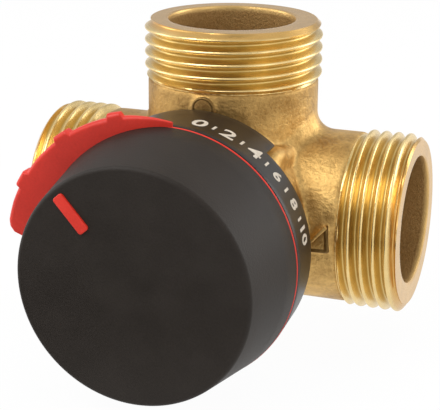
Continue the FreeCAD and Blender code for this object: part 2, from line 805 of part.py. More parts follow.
def grip_outline(level, inset):
    """Closed outline of the thumb grip, growing from its thin to its thick end."""
    first, last = S["grip_first"].value, S["grip_last"].value
    thin, thick = S["grip_thin"].value, S["grip_thick"].value
    swell = ((0.0, 0.0), (0.05, 0.06), (0.13, 0.15), (0.24, 0.27), (0.35, 0.37),
             (0.46, 0.50), (0.56, 0.65), (0.66, 0.78), (0.76, 0.88), (0.86, 0.97),
             (0.94, 1.0), (0.965, 0.93), (0.985, 0.74), (1.0, 0.40))
    ribs = (0.255, 0.50, 0.745)
    count = 72
    points = []
    for i in range(count + 1):
        t = i / count
        for (t0, g0), (t1, g1) in zip(swell, swell[1:]):
            if t <= t1 + 1e-9:
                grow = g0 + (g1 - g0) * (t - t0) / (t1 - t0)
                break
        radius = thin + (thick - thin) * grow
        for centre in ribs:
            away = abs(t - centre) / 0.036
            if away < 1.0:
                radius += S["rib_rise"].value * min(1.0, 2.6 * (1.0 - away ** 2))
        angle = math.radians(first + (last - first) * t)
        radius -= inset
        points.append(Vector(radius * math.cos(angle), -level, radius * math.sin(angle)))
    curve = Part.BSplineCurve()
    curve.interpolate(points)
    a0, a1 = math.radians(first), math.radians(last)
    inner = S["disc_radius"].value - 1.75
    start = Vector(inner * math.cos(a0), -level, inner * math.sin(a0))
    end = Vector(inner * math.cos(a1), -level, inner * math.sin(a1))
    mid = (a0 + a1) / 2.0
    back = Part.Arc(end, Vector(inner * math.cos(mid), -level, inner * math.sin(mid)),
                    start).toShape()
    return Part.Wire([curve.toShape(), Part.makeLine(points[-1], end), back,
                      Part.makeLine(start, points[0])])


def build_knob_core():
    """Red inner moulding: disc, hub with D bore, pointer bar, grip and stops."""
    disc = new_body("KnobDisc")
    base, back = S["disc_front"], S["disc_back"]
    web_back = S["spigot_front"] + 2.6
    web_front = web_back + 1.6
    hub_front = S["knob_front"] - S["knob_wall"]
    turned(disc, "DiscTurned", [
        (dim(10.6), front(back)),
        (S["disc_radius"], front(back)),
        (S["disc_radius"], front(base)),
        (dim(12.2), front(base)),
        (dim(12.2), front(web_front)),
        (dim(7.4), front(web_front)),
        (dim(7.4), front(hub_front)),
        (ZERO, front(hub_front)),
        (ZERO, front(S["drive_front"] + 0.2)),
        (S["drive_radius"] + 0.02, front(S["drive_front"] + 0.2)),
        (S["drive_radius"] + 0.02, front(web_back)),
        (dim(10.6), front(web_back)),
    ])
    # the flat of the D bore
    flat = cylinder("BoreDisc", S["drive_radius"] + 0.5,
                    S["drive_front"] + 0.2 - web_back,
                    (0.0, front(web_back), 0.0), (0, -1, 0))
    keep = doc.addObject("Part::Box", "FlatBox")
    bind(keep, "Length", S["drive_radius"] + 2.0)
    bind(keep, "Width", S["drive_front"] - web_back + 4.0)
    bind(keep, "Height", S["drive_radius"] * 3.0)
    keep.Placement = Placement(
        Vector(S["drive_flat"].value + 0.02, -S["drive_front"].value - 2.0,
               -1.5 * S["drive_radius"].value), Rotation())
    keep.setExpression("Placement.Base.z", (S["drive_radius"] * -1.5).text)
    keep.setExpression("Placement.Base.y", (-(S["drive_front"] + 2.0)).text)
    keep.setExpression("Placement.Base.x", (S["drive_flat"] + 0.02).text)
    chord = doc.addObject("Part::Common", "BoreFlat")
    chord.Base = flat
    chord.Tool = keep

    # stop sector that meets the bonnet tab at both ends of the travel
    free = S["travel"] + S["stop_half"] * 2.0
    stop = new_body("StopSector")
    outline = sketch_on(stop, "XY_Plane", "StopOutline")
    polygon(outline, [(dim(7.3), front(back + 0.1)), (dim(11.0), front(back + 0.1)),
                      (dim(11.0), front(web_back + 0.4)),
                      (dim(7.3), front(web_back + 0.4))])
    spin = stop.newObject("PartDesign::Revolution", "StopTurned")
    spin.Profile = outline
    spin.ReferenceAxis = (outline, ["V_Axis"])
    spin.Midplane = True
    bind(spin, "Angle", 359.4 - free)
    stop.Placement = Placement(Vector(0, 0, 0), Rotation(Vector(0, 1, 0), -90))

    bar = new_body("PointerBar")
    sketch = sketch_on(bar, "XZ_Plane", "PointerOutline")
    pointer_outline(sketch, 0.0)
    tip = S["knob_front"] + S["pointer_rise"]
    sketch.AttachmentOffset = Placement(Vector(0, 0, tip.value), Rotation())
    sketch.setExpression("AttachmentOffset.Base.z", tip.text)
    raised(bar, "PointerPad", sketch, tip - base + 0.2, back=True)
    bar.Placement = Placement(Vector(0, 0, 0),
                              Rotation(Vector(0, 1, 0), -S["pointer_angle"].value))

    # the grip: a straight flank, then a bevel towards its front face
    low, mid_level = back.value, S["grip_front"].value - S["grip_bevel"].value
    outlines = []
    for name, level, inset in (("Back", low, 0.0), ("Middle", mid_level, 0.0)):
        wire = doc.addObject("Part::Feature", "Grip%sOutline" % name)
        wire.Shape = grip_outline(level, inset)
        outlines.append(wire)
    flank = doc.addObject("Part::Loft", "GripFlank")
    flank.Sections = outlines
    flank.Solid = True
    flank.Ruled = True
    lip = doc.addObject("Part::Feature", "GripLipOutline")
    lip.Shape = grip_outline(S["grip_front"].value, S["grip_bevel"].value * 0.8)
    bevel = doc.addObject("Part::Loft", "GripBevel")
    bevel.Sections = [outlines[1], lip]
    bevel.Solid = True
    bevel.Ruled = True
    grip = fused("GripBlank", [flank, bevel])
    room = new_body("CoverRoom")
    turned(room, "CoverRoomTurned", [
        (ZERO, front(base)), (knob_radius(base), front(base)),
        (knob_radius(S["knob_front"]), front(S["knob_front"])),
        (ZERO, front(S["knob_front"]))])
    sloped = doc.addObject("Part::Box", "GripSlope")
    bind(sloped, "Length", S["grip_thick"] * 3.0)
    bind(sloped, "Height", S["grip_thick"] * 3.0)
    bind(sloped, "Width", S["grip_thick"])
    lean = Rotation(Vector(0, 0, 1), S["grip_slope"].value)
    corner = lean.multVec(Vector(-1.5, -1.0, -1.5) * S["grip_thick"].value)
    sloped.Placement = Placement(corner + Vector(0, -base.value, 0), lean)
    away = fused("GripRoom", [room, sloped])
    grip_cut = cut_from("Grip", grip, away)
    return fused("knob_core", [disc, chord, stop, bar, grip_cut])


# ---------------------------------------------------------------- assemble

nodes = {
    "valve_body": build_casting(),
    "bonnet": build_bonnet(),
    "bonnet_o_ring": build_bonnet_o_ring(),
    "shaft": build_shaft(),
    "shaft_insert": build_shaft_insert(),
    "thrust_washer": build_thrust_washer(),
    "rotor": build_rotor(),
    "scale_ring": build_scale_ring(),
    "knob_cover": build_knob_cover(),
    "knob_core": build_knob_core(),
}
for index in range(4):
    nodes["bonnet_screw_%d" % (index + 1)] = build_screw(index + 1)
for index, level in enumerate(GROOVES):
    nodes["shaft_o_ring_%d" % (index + 1)] = build_shaft_o_ring(index + 1, level)
doc.recompute()

os.makedirs("parts", exist_ok=True)
for obj in doc.Objects:
    if "Invalid" in obj.State or "Error" in obj.State:
        raise RuntimeError("%s is in state %s" % (obj.Name, obj.State))
for name, obj in nodes.items():
    shape = obj.Shape
    if shape.isNull() or not shape.isValid():
        raise RuntimeError("%s has no valid shape" % name)
    if len(shape.Solids) != 1:
        raise RuntimeError("%s has %d solids" % (name, len(shape.Solids)))
    shape.exportStep("parts/%s.step" % name)
    box = shape.BoundBox
    print("%-16s %9.1f mm3  x %.2f..%.2f  y %.2f..%.2f  z %.2f..%.2f" % (
        name, shape.Volume, box.XMin, box.XMax, box.YMin, box.YMax, box.ZMin, box.ZMax))
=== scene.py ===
"""Looks of a three-way rotary mixing valve that is set by a hand knob.

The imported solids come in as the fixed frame.  This script gives the casting its
blasted skin, cuts the true helical pipe threads, rounds the mouldings, prints the
dial and wires every finish.  Sizes are millimetres; angles are degrees, counted from
+X towards +Z as seen from the knob's side.
"""

import logging
import math
from dataclasses import dataclass
from enum import Enum

import bpy
import numpy as np
from mathutils import Matrix, Vector


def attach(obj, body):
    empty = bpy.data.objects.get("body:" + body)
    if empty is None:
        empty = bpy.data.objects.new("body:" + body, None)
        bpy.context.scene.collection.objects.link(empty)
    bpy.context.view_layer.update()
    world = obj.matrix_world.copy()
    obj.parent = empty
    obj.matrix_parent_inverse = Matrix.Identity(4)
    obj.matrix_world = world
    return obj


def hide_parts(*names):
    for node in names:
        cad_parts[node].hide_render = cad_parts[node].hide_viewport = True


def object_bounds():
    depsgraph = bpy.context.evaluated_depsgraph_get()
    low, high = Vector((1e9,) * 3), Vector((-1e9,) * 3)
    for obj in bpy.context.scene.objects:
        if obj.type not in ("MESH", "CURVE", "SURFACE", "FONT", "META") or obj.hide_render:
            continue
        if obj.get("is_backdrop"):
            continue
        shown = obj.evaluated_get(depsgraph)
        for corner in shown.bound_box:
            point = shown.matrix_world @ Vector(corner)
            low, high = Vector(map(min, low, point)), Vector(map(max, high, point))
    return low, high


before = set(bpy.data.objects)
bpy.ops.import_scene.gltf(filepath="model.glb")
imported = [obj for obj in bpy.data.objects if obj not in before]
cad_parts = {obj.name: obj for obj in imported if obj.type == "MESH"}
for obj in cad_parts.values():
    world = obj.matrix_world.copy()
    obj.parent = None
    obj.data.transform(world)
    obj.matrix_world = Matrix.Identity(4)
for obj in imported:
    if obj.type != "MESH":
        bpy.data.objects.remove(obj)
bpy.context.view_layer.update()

MM = 0.001
LOG = logging.getLogger("mixing_valve")
Colour = tuple[float, float, float, float]
Pair = tuple[float, float]
Triple = tuple[float, float, float]


class BodyName(Enum):
    """The valve's two bodies, of which the knob turns."""

    HOUSING = "housing"
    KNOB = "knob"


class PortSide(Enum):
    """Which way a port looks."""

    RIGHT = "right"
    LEFT = "left"
    TOP = "top"


# ------------------------------------------------------------------ shader wiring


class Wire:
    """A shader socket that takes part in Python arithmetic."""

    def __init__(self, shader: "Shader", socket: bpy.types.NodeSocket) -> None:
        """Keeps the socket and the material it belongs to."""
        self.shader = shader
        self.socket = socket

    def _math(self, operation: str, left: "Wire | float", right: "Wire | float") -> "Wire":
        """Adds one Math node."""
        return self.shader.node("ShaderNodeMath", {"operation": operation},
                                {0: left, 1: right})

    def __add__(self, other: "Wire | float") -> "Wire":
        """Sum."""
        return self._math("ADD", self, other)

    def __radd__(self, other: float) -> "Wire":
        """Sum with a number on the left."""
        return self._math("ADD", other, self)

    def __sub__(self, other: "Wire | float") -> "Wire":
        """Difference."""
        return self._math("SUBTRACT", self, other)

    def __rsub__(self, other: float) -> "Wire":
        """Difference from a number on the left."""
        return self._math("SUBTRACT", other, self)

    def __mul__(self, other: "Wire | float") -> "Wire":
        """Product."""
        return self._math("MULTIPLY", self, other)

    def __rmul__(self, other: float) -> "Wire":
        """Product with a number on the left."""
        return self._math("MULTIPLY", other, self)

    def __pow__(self, other: float) -> "Wire":
        """Power."""
        return self._math("POWER", self, other)


class Wiring:
    """A node tree while it is being wired."""

    def __init__(self, tree: bpy.types.NodeTree, output: str) -> None:
        """Empties the tree down to its output node.

        Args:
            tree: the tree of a material or a world.
            output: type of the output node.
        """
        tree.nodes.clear()
        self.tree = tree
        self.out = tree.nodes.new(output)

    def node(self, kind: str, settings: dict | None = None, inputs: dict | None = None,
             output: int | str = 0) -> Wire:
        """Adds one node.

        Args:
            kind: the node's type.
            settings: attributes set first; "stops" fills a colour ramp.
            inputs: a value or a Wire for each input named or numbered.
            output: which output to hand back.

        Returns:
            The chosen output.
        """
        made = self.tree.nodes.new(kind)
        for key, value in (settings or {}).items():
            if key == "stops":
                ramp = made.color_ramp.elements
                while len(ramp) < len(value):
                    ramp.new(0.5)
                for stop, (place, shade) in zip(ramp, value):
                    stop.position = place
                    stop.color = shade if isinstance(shade, tuple) else (shade,) * 3 + (1.0,)
            else:
                setattr(made, key, value)
        for key, value in (inputs or {}).items():
            self.feed(made.inputs[key], value)
        return Wire(self, made.outputs[output])

    def feed(self, socket: bpy.types.NodeSocket, value: "Wire | float | tuple") -> None:
        """Links a Wire to a socket, or writes a plain value on it.

        Args:
            socket: the input to fill.
            value: what it gets.
        """
        if isinstance(value, Wire):
            self.tree.links.new(value.socket, socket)
        else:
            socket.default_value = value

    def show(self, shader: Wire) -> None:
        """Leads a shader to the tree's output."""
        self.feed(self.out.inputs["Surface"], shader)

    def seen_white(self) -> Wire:
        """Tells rays from the eye, a mirror or a glass from the rest.

        Returns:
            1 for those rays and 0 for any other.
        """
        joined = self.node("ShaderNodeLightPath", output="Is Camera Ray")
        for name in ("Is Glossy Ray", "Is Transmission Ray"):
            ray = self.node("ShaderNodeLightPath", output=name)
            joined = self.node("ShaderNodeMath", {"operation": "MAXIMUM"}, {0: joined, 1: ray})
        return joined


class Shader(Wiring):
    """One material while it is being wired."""

    def __init__(self, name: str) -> None:
        """Starts a material that holds only a surface shader and its output.

        Args:
            name: the material's name.
        """
        self.material = bpy.data.materials.new(name)
        self.material.use_nodes = True
        super().__init__(self.material.node_tree, "ShaderNodeOutputMaterial")
        self.surface = self.node("ShaderNodeBsdfPrincipled")
        self.show(self.surface)

    def place(self) -> Wire:
        """Object coordinates."""
        return self.node("ShaderNodeTexCoord", output="Object")

    def stretched(self, scale: Triple, source: Wire | None = None) -> Wire:
        """Coordinates scaled along each axis.

        Args:
            scale: factor along X, Y and Z.
            source: coordinates to scale; object coordinates if left out.

        Returns:
            The scaled coordinates.
        """
        return self.node("ShaderNodeMapping", inputs={
            "Vector": source or self.place(), "Scale": scale})

    def noise(self, scale: float, detail: float = 3.0, rough: float = 0.55,
              source: Wire | None = None) -> Wire:
        """Fractal noise between 0 and 1.

        Args:
            scale: waves per metre.
            detail: octaves.
            rough: weight of the finer octaves.
            source: coordinates; object coordinates if left out.

        Returns:
            The noise value.
        """
        return self.node("ShaderNodeTexNoise", inputs={
            "Vector": source or self.place(), "Scale": scale, "Detail": detail,
            "Roughness": rough})

    def along(self, way: Triple) -> Wire:
        """How far a point lies along a direction, in metres."""
        return self.node("ShaderNodeVectorMath", {"operation": "DOT_PRODUCT"},
                         {0: self.place(), 1: way}, output="Value")

    def attribute(self, name: str) -> Wire:
        """A number stored on the mesh."""
        return self.node("ShaderNodeAttribute", {"attribute_name": name}, output="Fac")

    def ramp(self, value: Wire, stops: tuple) -> Wire:
        """A colour ramp over a value."""
        return self.node("ShaderNodeValToRGB", {"stops": stops}, {"Fac": value})

    def blend(self, amount: "Wire | float", first: "Wire | Colour", second: "Wire | Colour",
              way: str = "MIX") -> Wire:
        """Mixes two colours.

        Args:
            amount: share of the second colour.
            first: colour at 0.
            second: colour at 1.
            way: the blend type.

        Returns:
            The mixed colour.
        """
        return self.node("ShaderNodeMix", {"data_type": "RGBA", "blend_type": way},
                         {0: amount, 6: first, 7: second}, output=2)

    def bump(self, height: Wire, strength: float, distance: float,
             under: Wire | None = None) -> Wire:
        """Relief in the shading.

        Args:
            height: relief between 0 and 1.
            strength: how strongly it shows.
            distance: relief height in metres.
            under: another bump that this one lies on.

        Returns:
            The bent normal.
        """
        inputs = {"Height": height, "Strength": strength, "Distance": distance}
        if under is not None:
            inputs["Normal"] = under
        return self.node("ShaderNodeBump", inputs=inputs)

    def dress(self, **sockets: "Wire | float | Colour") -> bpy.types.Material:
        """Sets the surface shader's sockets, named with _ for a blank.

        Args:
            **sockets: values or wires by socket name.

        Returns:
            The finished material.
        """
        inputs = self.surface.socket.node.inputs
        for key, value in sockets.items():
            self.feed(inputs[key.replace("_", " ")], value)
        return self.material


def rgb(red: float, green: float, blue: float) -> Colour:
    """A linear colour with full alpha."""
    return (red, green, blue, 1.0)


# ------------------------------------------------------------------ finishes


@dataclass(frozen=True)
class CastBrass:
    """Sand-cast and shot-blasted brass: matte, mottled and grainy, with painted shade towards
    the top left and on the raised marks.

    Attributes:
        name: the material's name.
        pale: the metal's lighter colour.
        deep: its darker colour.
        shade_tint: what the painted shade towards the top left leaves of each colour.
        shade_colour: colour of the painted shade on the raised marks.
        roughness: 0 for a mirror to 1 for chalk.
        cloud_scale: waves per metre of the broad mottling.
        grain_scale: waves per metre of the blasted grain.
        pitting_scale: waves per metre of the patches that are more pitted.
        grain_depth: relief of the grain, in metres.
        cloud_depth: relief of the mottling, in metres.
        shade_way: direction in which the painted shade grows.
        shade_rise: how fast it grows, per metre.
    """

    name: str = "cast_brass"
    pale: Colour = rgb(0.73, 0.475, 0.170)
    deep: Colour = rgb(0.36, 0.205, 0.062)
    shade_tint: Colour = rgb(0.64, 0.60, 0.56)
    shade_colour: Colour = rgb(0.10, 0.055, 0.018)
    roughness: float = 0.47
    cloud_scale: float = 170.0
    grain_scale: float = 1500.0
    pitting_scale: float = 95.0
    grain_depth: float = 0.00024
    cloud_depth: float = 0.0008
    shade_way: Triple = (-0.5, 0.0, 1.0)
    shade_rise: float = 55.0

    def build(self) -> bpy.types.Material:
        """Wires the finish; painted shade darkens it towards the top left.

        Returns:
            The material.
        """
        s = Shader(self.name)
        cloud = s.noise(self.cloud_scale, 5.0, 0.6)
        grain = s.noise(self.grain_scale, 3.0, 0.7)
        speck = s.node("ShaderNodeTexVoronoi", {"feature": "F1"},
                       {"Vector": s.place(), "Scale": self.grain_scale})
        tone = s.ramp(cloud * 0.68 + grain * 0.32,
                      ((0.36, self.deep), (0.60, self.pale)))
        pitted = s.ramp(s.noise(self.pitting_scale, 2.0), ((0.46, 0.12), (0.60, 0.62)))
        pits = s.ramp(speck, ((0.06, 0.42), (0.26, 1.0)))
        colour = s.blend(pitted, tone, pits, "MULTIPLY")
        # painted shade: the metal darkens towards the top left
        height = s.along(self.shade_way) * self.shade_rise + (cloud - 0.5) * 0.35
        top_left_shade = s.ramp(height, ((0.58, 0.0), (1.0, 0.78)))
        colour = s.blend(top_left_shade, colour, self.shade_tint, "MULTIPLY")
        # painted shade: each raised mark's stored share darkens it towards the shade colour
        colour = s.blend(s.attribute("soil"), colour, self.shade_colour)
        rough = self.roughness + (grain - 0.5) * 0.22 + (cloud - 0.5) * 0.18
        normal = s.bump(grain, 0.60, self.grain_depth,
                        s.bump(cloud, 0.40, self.cloud_depth))
        return s.dress(Base_Color=colour, Metallic=1.0, Roughness=rough, Normal=normal)


@dataclass(frozen=True)
class TurnedBrass:
    """Brass cut on a lathe, with tool lines, painted shade in the thread roots and a cast bore.

    Attributes:
        name: the material's name.
        bright: colour of the thread's crests.
        root: colour of its roots, as painted shade.
        faced: colour of the flat face.
        bore: darker colour of the cast bore.
        bore_grain: its lighter colour.
        roughness: roughness of the cut metal.
        bore_roughness: roughness of the bore.
        line_density: tool lines along each axis of the UV map.
        line_depth: relief of the tool lines, in metres.
        smear_scale: waves per metre of the handling marks.
        grain_scale: waves per metre of the bore's grain.
        pore_scale: waves per metre of the bore's pores.
        pore_depth: their relief, in metres.
    """

    name: str = "turned_brass"
    bright: Colour = rgb(0.88, 0.655, 0.29)
    root: Colour = rgb(0.62, 0.44, 0.155)
    faced: Colour = rgb(0.74, 0.455, 0.148)
    bore: Colour = rgb(0.27, 0.155, 0.048)
    bore_grain: Colour = rgb(0.56, 0.36, 0.15)
    roughness: float = 0.21
    bore_roughness: float = 0.62
    line_density: Triple = (5.0, 620.0, 1.0)
    line_depth: float = 0.00005
    smear_scale: float = 220.0
    grain_scale: float = 1700.0
    pore_scale: float = 2600.0
    pore_depth: float = 0.00016

    def build(self) -> bpy.types.Material:
        """Wires the finish; a sleeve brings groove, bore, face and its own UV map.

        Returns:
            The material.
        """
        s = Shader(self.name)
        groove = s.attribute("groove")
        inside = s.attribute("bore")
        around = s.node("ShaderNodeUVMap", {"uv_map": "UVMap"})
        lines = s.noise(1.0, 2.0, 0.6, s.stretched(self.line_density, around))
        smear = s.noise(self.smear_scale, 4.0, 0.6)
        grain = s.noise(self.grain_scale, 3.0, 0.7)
        # painted shade: the deeper the cut, the nearer the metal comes to the darker root colour
        tone = s.blend(groove ** 1.6 * 0.85, self.bright, self.root)
        tone = s.blend(s.attribute("face"), tone, self.faced)
        tone = s.blend(0.40, tone, s.ramp(smear, ((0.30, 0.62), (0.62, 1.0))), "MULTIPLY")
        # darker colour inside the bore
        bore_colour = s.blend(grain, self.bore, self.bore_grain)
        colour = s.blend(inside, tone, bore_colour)
        cut = self.roughness + (lines - 0.5) * 0.12 + groove * 0.12
        rough = cut * (1 - inside) + inside * self.bore_roughness
        pores = s.noise(self.pore_scale, 3.0, 0.7)
        normal = s.bump(lines, 0.22, self.line_depth,
                        s.bump(pores * inside, 0.8, self.pore_depth))
        return s.dress(Base_Color=colour, Metallic=1.0, Roughness=rough, Normal=normal)


@dataclass(frozen=True)
class Moulding:
    """Injection-moulded plastic or rubber with a fine eroded grain.

    Attributes:
        name: the material's name.
        base: one end of its colour.
        tint: the other end.
        roughness: 0 for a mirror to 1 for chalk.
        grain: how strongly the grain shows, 0 to 1.
        grain_scale: waves per metre of the grain.
        cloud_scale: waves per metre of the slow change of colour.
        specular: how much the surface mirrors, 0.5 for common plastic.
        grain_depth: relief of the grain, in metres.
    """

    name: str
    base: Colour
    tint: Colour
    roughness: float = 0.5
    grain: float = 0.35
    grain_scale: float = 3200.0
    cloud_scale: float = 120.0
    specular: float = 0.5
    grain_depth: float = 0.00006

    def build(self) -> bpy.types.Material:
        """Wires the finish.

        Returns:
            The material.
        """
        s = Shader(self.name)
        cloud = s.noise(self.cloud_scale, 4.0, 0.55)
        grain = s.noise(self.grain_scale, 2.0, 0.6)
        colour = s.blend(s.ramp(cloud * 0.6 + grain * 0.4, ((0.38, 0.0), (0.64, 1.0))),
                         self.base, self.tint)
        rough = self.roughness + (cloud - 0.5) * 0.10 + (grain - 0.5) * 0.10
        normal = s.bump(grain, self.grain, self.grain_depth)
        return s.dress(Base_Color=colour, Roughness=rough, Normal=normal,
                       Specular_IOR_Level=self.specular)


@dataclass(frozen=True)
class Steel:
    """Zinc-plated screw steel.

    Attributes:
        name: the material's name.
        base: the plating's lighter colour.
        tint: its darker colour.
        cloud_scale: waves per metre of the mottling.
        line_density: waves per metre of the drawn lines, along each axis.
        line_depth: their relief, in metres.
    """

    name: str = "screw_steel"
    base: Colour = rgb(0.62, 0.62, 0.60)
    tint: Colour = rgb(0.42, 0.42, 0.42)
    cloud_scale: float = 900.0
    line_density: Triple = (900.0, 5200.0, 900.0)
    line_depth: float = 0.00005

    def build(self) -> bpy.types.Material:
        """Wires the finish.

        Returns:
            The material.
        """
        s = Shader(self.name)
        cloud = s.noise(self.cloud_scale, 3.0, 0.6)
        lines = s.noise(1.0, 2.0, 0.5, s.stretched(self.line_density))
        colour = s.blend(s.ramp(cloud, ((0.35, 0.0), (0.65, 1.0))), self.base, self.tint)
        return s.dress(Base_Color=colour, Metallic=1.0, Roughness=0.26 + cloud * 0.16,
                       Normal=s.bump(lines, 0.25, self.line_depth))


BLACK_KNOB = Moulding("knob_black", rgb(0.0180, 0.0133, 0.0098), rgb(0.0255, 0.0195, 0.0152),
                      roughness=0.55, grain=0.8, grain_scale=2900.0, specular=0.22)
BLACK_RING = Moulding("ring_black", rgb(0.009, 0.006, 0.0045), rgb(0.014, 0.0095, 0.0075),
                      roughness=0.38, grain=0.25, specular=0.34)
RED = Moulding("knob_red", rgb(0.72, 0.030, 0.014), rgb(0.62, 0.023, 0.010),
               roughness=0.40, grain=0.22, grain_scale=2500.0, specular=0.35)
DIAL_PRINT = Moulding("dial_print", rgb(0.66, 0.59, 0.49), rgb(0.50, 0.43, 0.34),
                      roughness=0.45, grain=0.15, cloud_scale=900.0)
BONNET = Moulding("bonnet_composite", rgb(0.030, 0.030, 0.031), rgb(0.055, 0.053, 0.050),
                  roughness=0.48, grain=0.5, grain_scale=1400.0)
SHAFT = Moulding("shaft_composite", rgb(0.155, 0.135, 0.115), rgb(0.115, 0.100, 0.085),
                 roughness=0.42, grain=0.4, grain_scale=1500.0)
PTFE = Moulding("washer_ptfe", rgb(0.80, 0.79, 0.76), rgb(0.72, 0.71, 0.68),
                roughness=0.38, grain=0.2)
RUBBER = Moulding("seal_rubber", rgb(0.014, 0.014, 0.014), rgb(0.024, 0.024, 0.024),
                  roughness=0.62, grain=0.5, grain_scale=1800.0)
FINISHES = (CastBrass(), TurnedBrass(), BLACK_KNOB, BLACK_RING, RED, DIAL_PRINT, BONNET,
            SHAFT, PTFE, RUBBER, Steel())


class Paintshop:
    """Holds one material per finish."""

    def __init__(self) -> None:
        """Builds every finish once."""
        self.materials = {finish.name: finish.build() for finish in FINISHES}

    def coat(self, piece: bpy.types.Object, name: str) -> None:
        """Gives a new piece one finish."""
        piece.data.materials.clear()
        piece.data.materials.append(self.materials[name])

    def recoat(self, node: bpy.types.Object, name: str) -> None:
        """Puts a finish on a carried-over solid."""
        for slot in node.material_slots:
            slot.material = self.materials[name]


# ------------------------------------------------------------------ modelling moves


class Bench:
    """Modelling moves that the sub-assemblies share."""

    @staticmethod
    def clear() -> None:
        """Leaves edit mode and deselects everything."""
        if bpy.context.object and bpy.context.object.mode != "OBJECT":
            bpy.ops.object.mode_set(mode="OBJECT")
        bpy.ops.object.select_all(action="DESELECT")

    @staticmethod
    def take(piece: bpy.types.Object) -> None:
        """Makes a piece the only selected and active object.

        Args:
            piece: the piece.
        """
        Bench.clear()
        piece.select_set(True)
        bpy.context.view_layer.objects.active = piece

    @staticmethod
    def settle(name: str) -> bpy.types.Object:
        """Names the active piece and moves its place into its mesh.

        Args:
            name: the piece's name.

        Returns:
            The piece.
        """
        piece = bpy.context.object
        piece.name = piece.data.name = name
        bpy.ops.object.transform_apply(location=True, rotation=True, scale=True)
        return piece

    @staticmethod
    def box(size: Triple, place: Triple = (0.0, 0.0, 0.0)) -> bpy.types.Object:
        """Adds a block, to be settled once it is turned.

        Args:
            size: length along X, Y and Z.
            place: its middle.

        Returns:
            The block.
        """
        Bench.clear()
        bpy.ops.mesh.primitive_cube_add(size=1.0, location=place)
        block = bpy.context.object
        block.scale = size
        return block

    @staticmethod
    def merge(distance: float) -> None:
        """Merges the doubled corners of the piece in edit mode."""
        bpy.ops.mesh.select_all(action="SELECT")
        bpy.ops.mesh.remove_doubles(threshold=distance)

    @staticmethod
    def turn_out() -> None:
        """Makes the faces of the piece in edit mode look outwards, and leaves the mode."""
        bpy.ops.mesh.select_all(action="SELECT")
        bpy.ops.mesh.normals_make_consistent(inside=False)
        bpy.ops.object.mode_set(mode="OBJECT")

    @staticmethod
    def pick_rims() -> None:
        """Selects the open edges of the piece in edit mode."""
        bpy.ops.mesh.select_all(action="DESELECT")
        bpy.ops.mesh.select_mode(type="EDGE")
        bpy.ops.mesh.select_non_manifold(extend=False)

    @staticmethod
    def lathe(name: str, profile: list[Pair], steps: int) -> bpy.types.Object:
        """Turns a profile round the knob's axis.

        Args:
            name: the piece's name.
            profile: radius and distance in front of the port axes, in order.
            steps: facets round the axis.

        Returns:
            The piece, its faces looking outwards.
        """
        Bench.clear()
        bpy.ops.mesh.primitive_circle_add(vertices=steps, radius=profile[0][0] * MM)
        bpy.ops.object.mode_set(mode="EDIT")
        bpy.ops.transform.translate(value=(0.0, 0.0, profile[0][1] * MM))
        for (radius, level), (last, before) in zip(profile[1:], profile):
            bpy.ops.mesh.extrude_edges_move(TRANSFORM_OT_translate={
                "value": (0.0, 0.0, (level - before) * MM)})
            ratio = max(radius, 1e-6) / max(last, 1e-6)
            bpy.ops.transform.resize(value=(ratio, ratio, 1.0),
                                     center_override=(0.0, 0.0, 0.0))
        Bench.merge(2e-6)
        Bench.turn_out()
        bpy.context.object.rotation_euler = (math.pi / 2, 0.0, 0.0)
        return Bench.settle(name)

    @staticmethod
    def wrap(name: str, points: np.ndarray, values: dict[str, np.ndarray] | None = None,
             capped: bool = False) -> bpy.types.Object:
        """Shapes a grid into a band that closes on itself.

        Args:
            name: the piece's name.
            points: place of each grid corner in metres, rows by columns by 3.
            values: numbers stored on the corners, by attribute name.
            capped: whether open ends are left, each to be filled by a face.

        Returns:
            The piece, its doubles merged and its faces looking outwards.
        """
        rows, columns = points.shape[:2]
        Bench.clear()
        bpy.ops.mesh.primitive_grid_add(x_subdivisions=columns - 1,
                                        y_subdivisions=rows - 1, size=1.0)
        mesh = bpy.context.object.data
        mesh.vertices.foreach_set("co", points.reshape(-1))
        for key, numbers in (values or {}).items():
            layer = mesh.attributes.new(key, "FLOAT", "POINT")
            layer.data.foreach_set("value", numbers.astype(np.float32).reshape(-1))
        mesh.update()
        bpy.ops.object.mode_set(mode="EDIT")
        Bench.merge(1e-6)
        if capped:
            Bench.pick_rims()
            bpy.ops.mesh.edge_face_add()
        Bench.turn_out()
        return Bench.settle(name)

    @staticmethod
    def pick(piece: bpy.types.Object, kind: str, wanted: list[bool]) -> None:
        """Opens a piece in edit mode with only the wanted faces or edges selected.

        Args:
            piece: the piece.
            kind: "FACE" or "EDGE".
            wanted: one answer per face or edge.
        """
        Bench.take(piece)
        bpy.ops.object.mode_set(mode="EDIT")
        bpy.ops.mesh.select_mode(type=kind)
        bpy.ops.mesh.select_all(action="DESELECT")
        bpy.ops.object.mode_set(mode="OBJECT")
        parts = piece.data.polygons if kind == "FACE" else piece.data.edges
        parts.foreach_set("select", wanted)
        bpy.ops.object.mode_set(mode="EDIT")

    @staticmethod
    def modify(piece: bpy.types.Object, kind: str, **settings: float | int | str | bool) -> None:
        """Adds one modifier and applies it.

        Args:
            piece: what to change.
            kind: the modifier's type.
            **settings: its settings.
        """
        Bench.take(piece)
        made = piece.modifiers.new(kind.title(), kind)
        for key, value in settings.items():
            setattr(made, key, value)
        bpy.ops.object.modifier_apply(modifier=made.name)

    @staticmethod
    def ease(piece: bpy.types.Object, width: float = 0.16, sharp: float = 50.0) -> None:
        """Bevels the edges of a moulding that are sharper than an angle."""
        Bench.modify(piece, "BEVEL", width=width * MM, segments=3, limit_method="ANGLE",
                     angle_limit=math.radians(sharp))

    @staticmethod
    def smooth(piece: bpy.types.Object, angle: float) -> None:
        """Shades a piece smooth below an angle between faces."""
        Bench.take(piece)
        bpy.ops.object.shade_smooth_by_angle(angle=math.radians(angle))

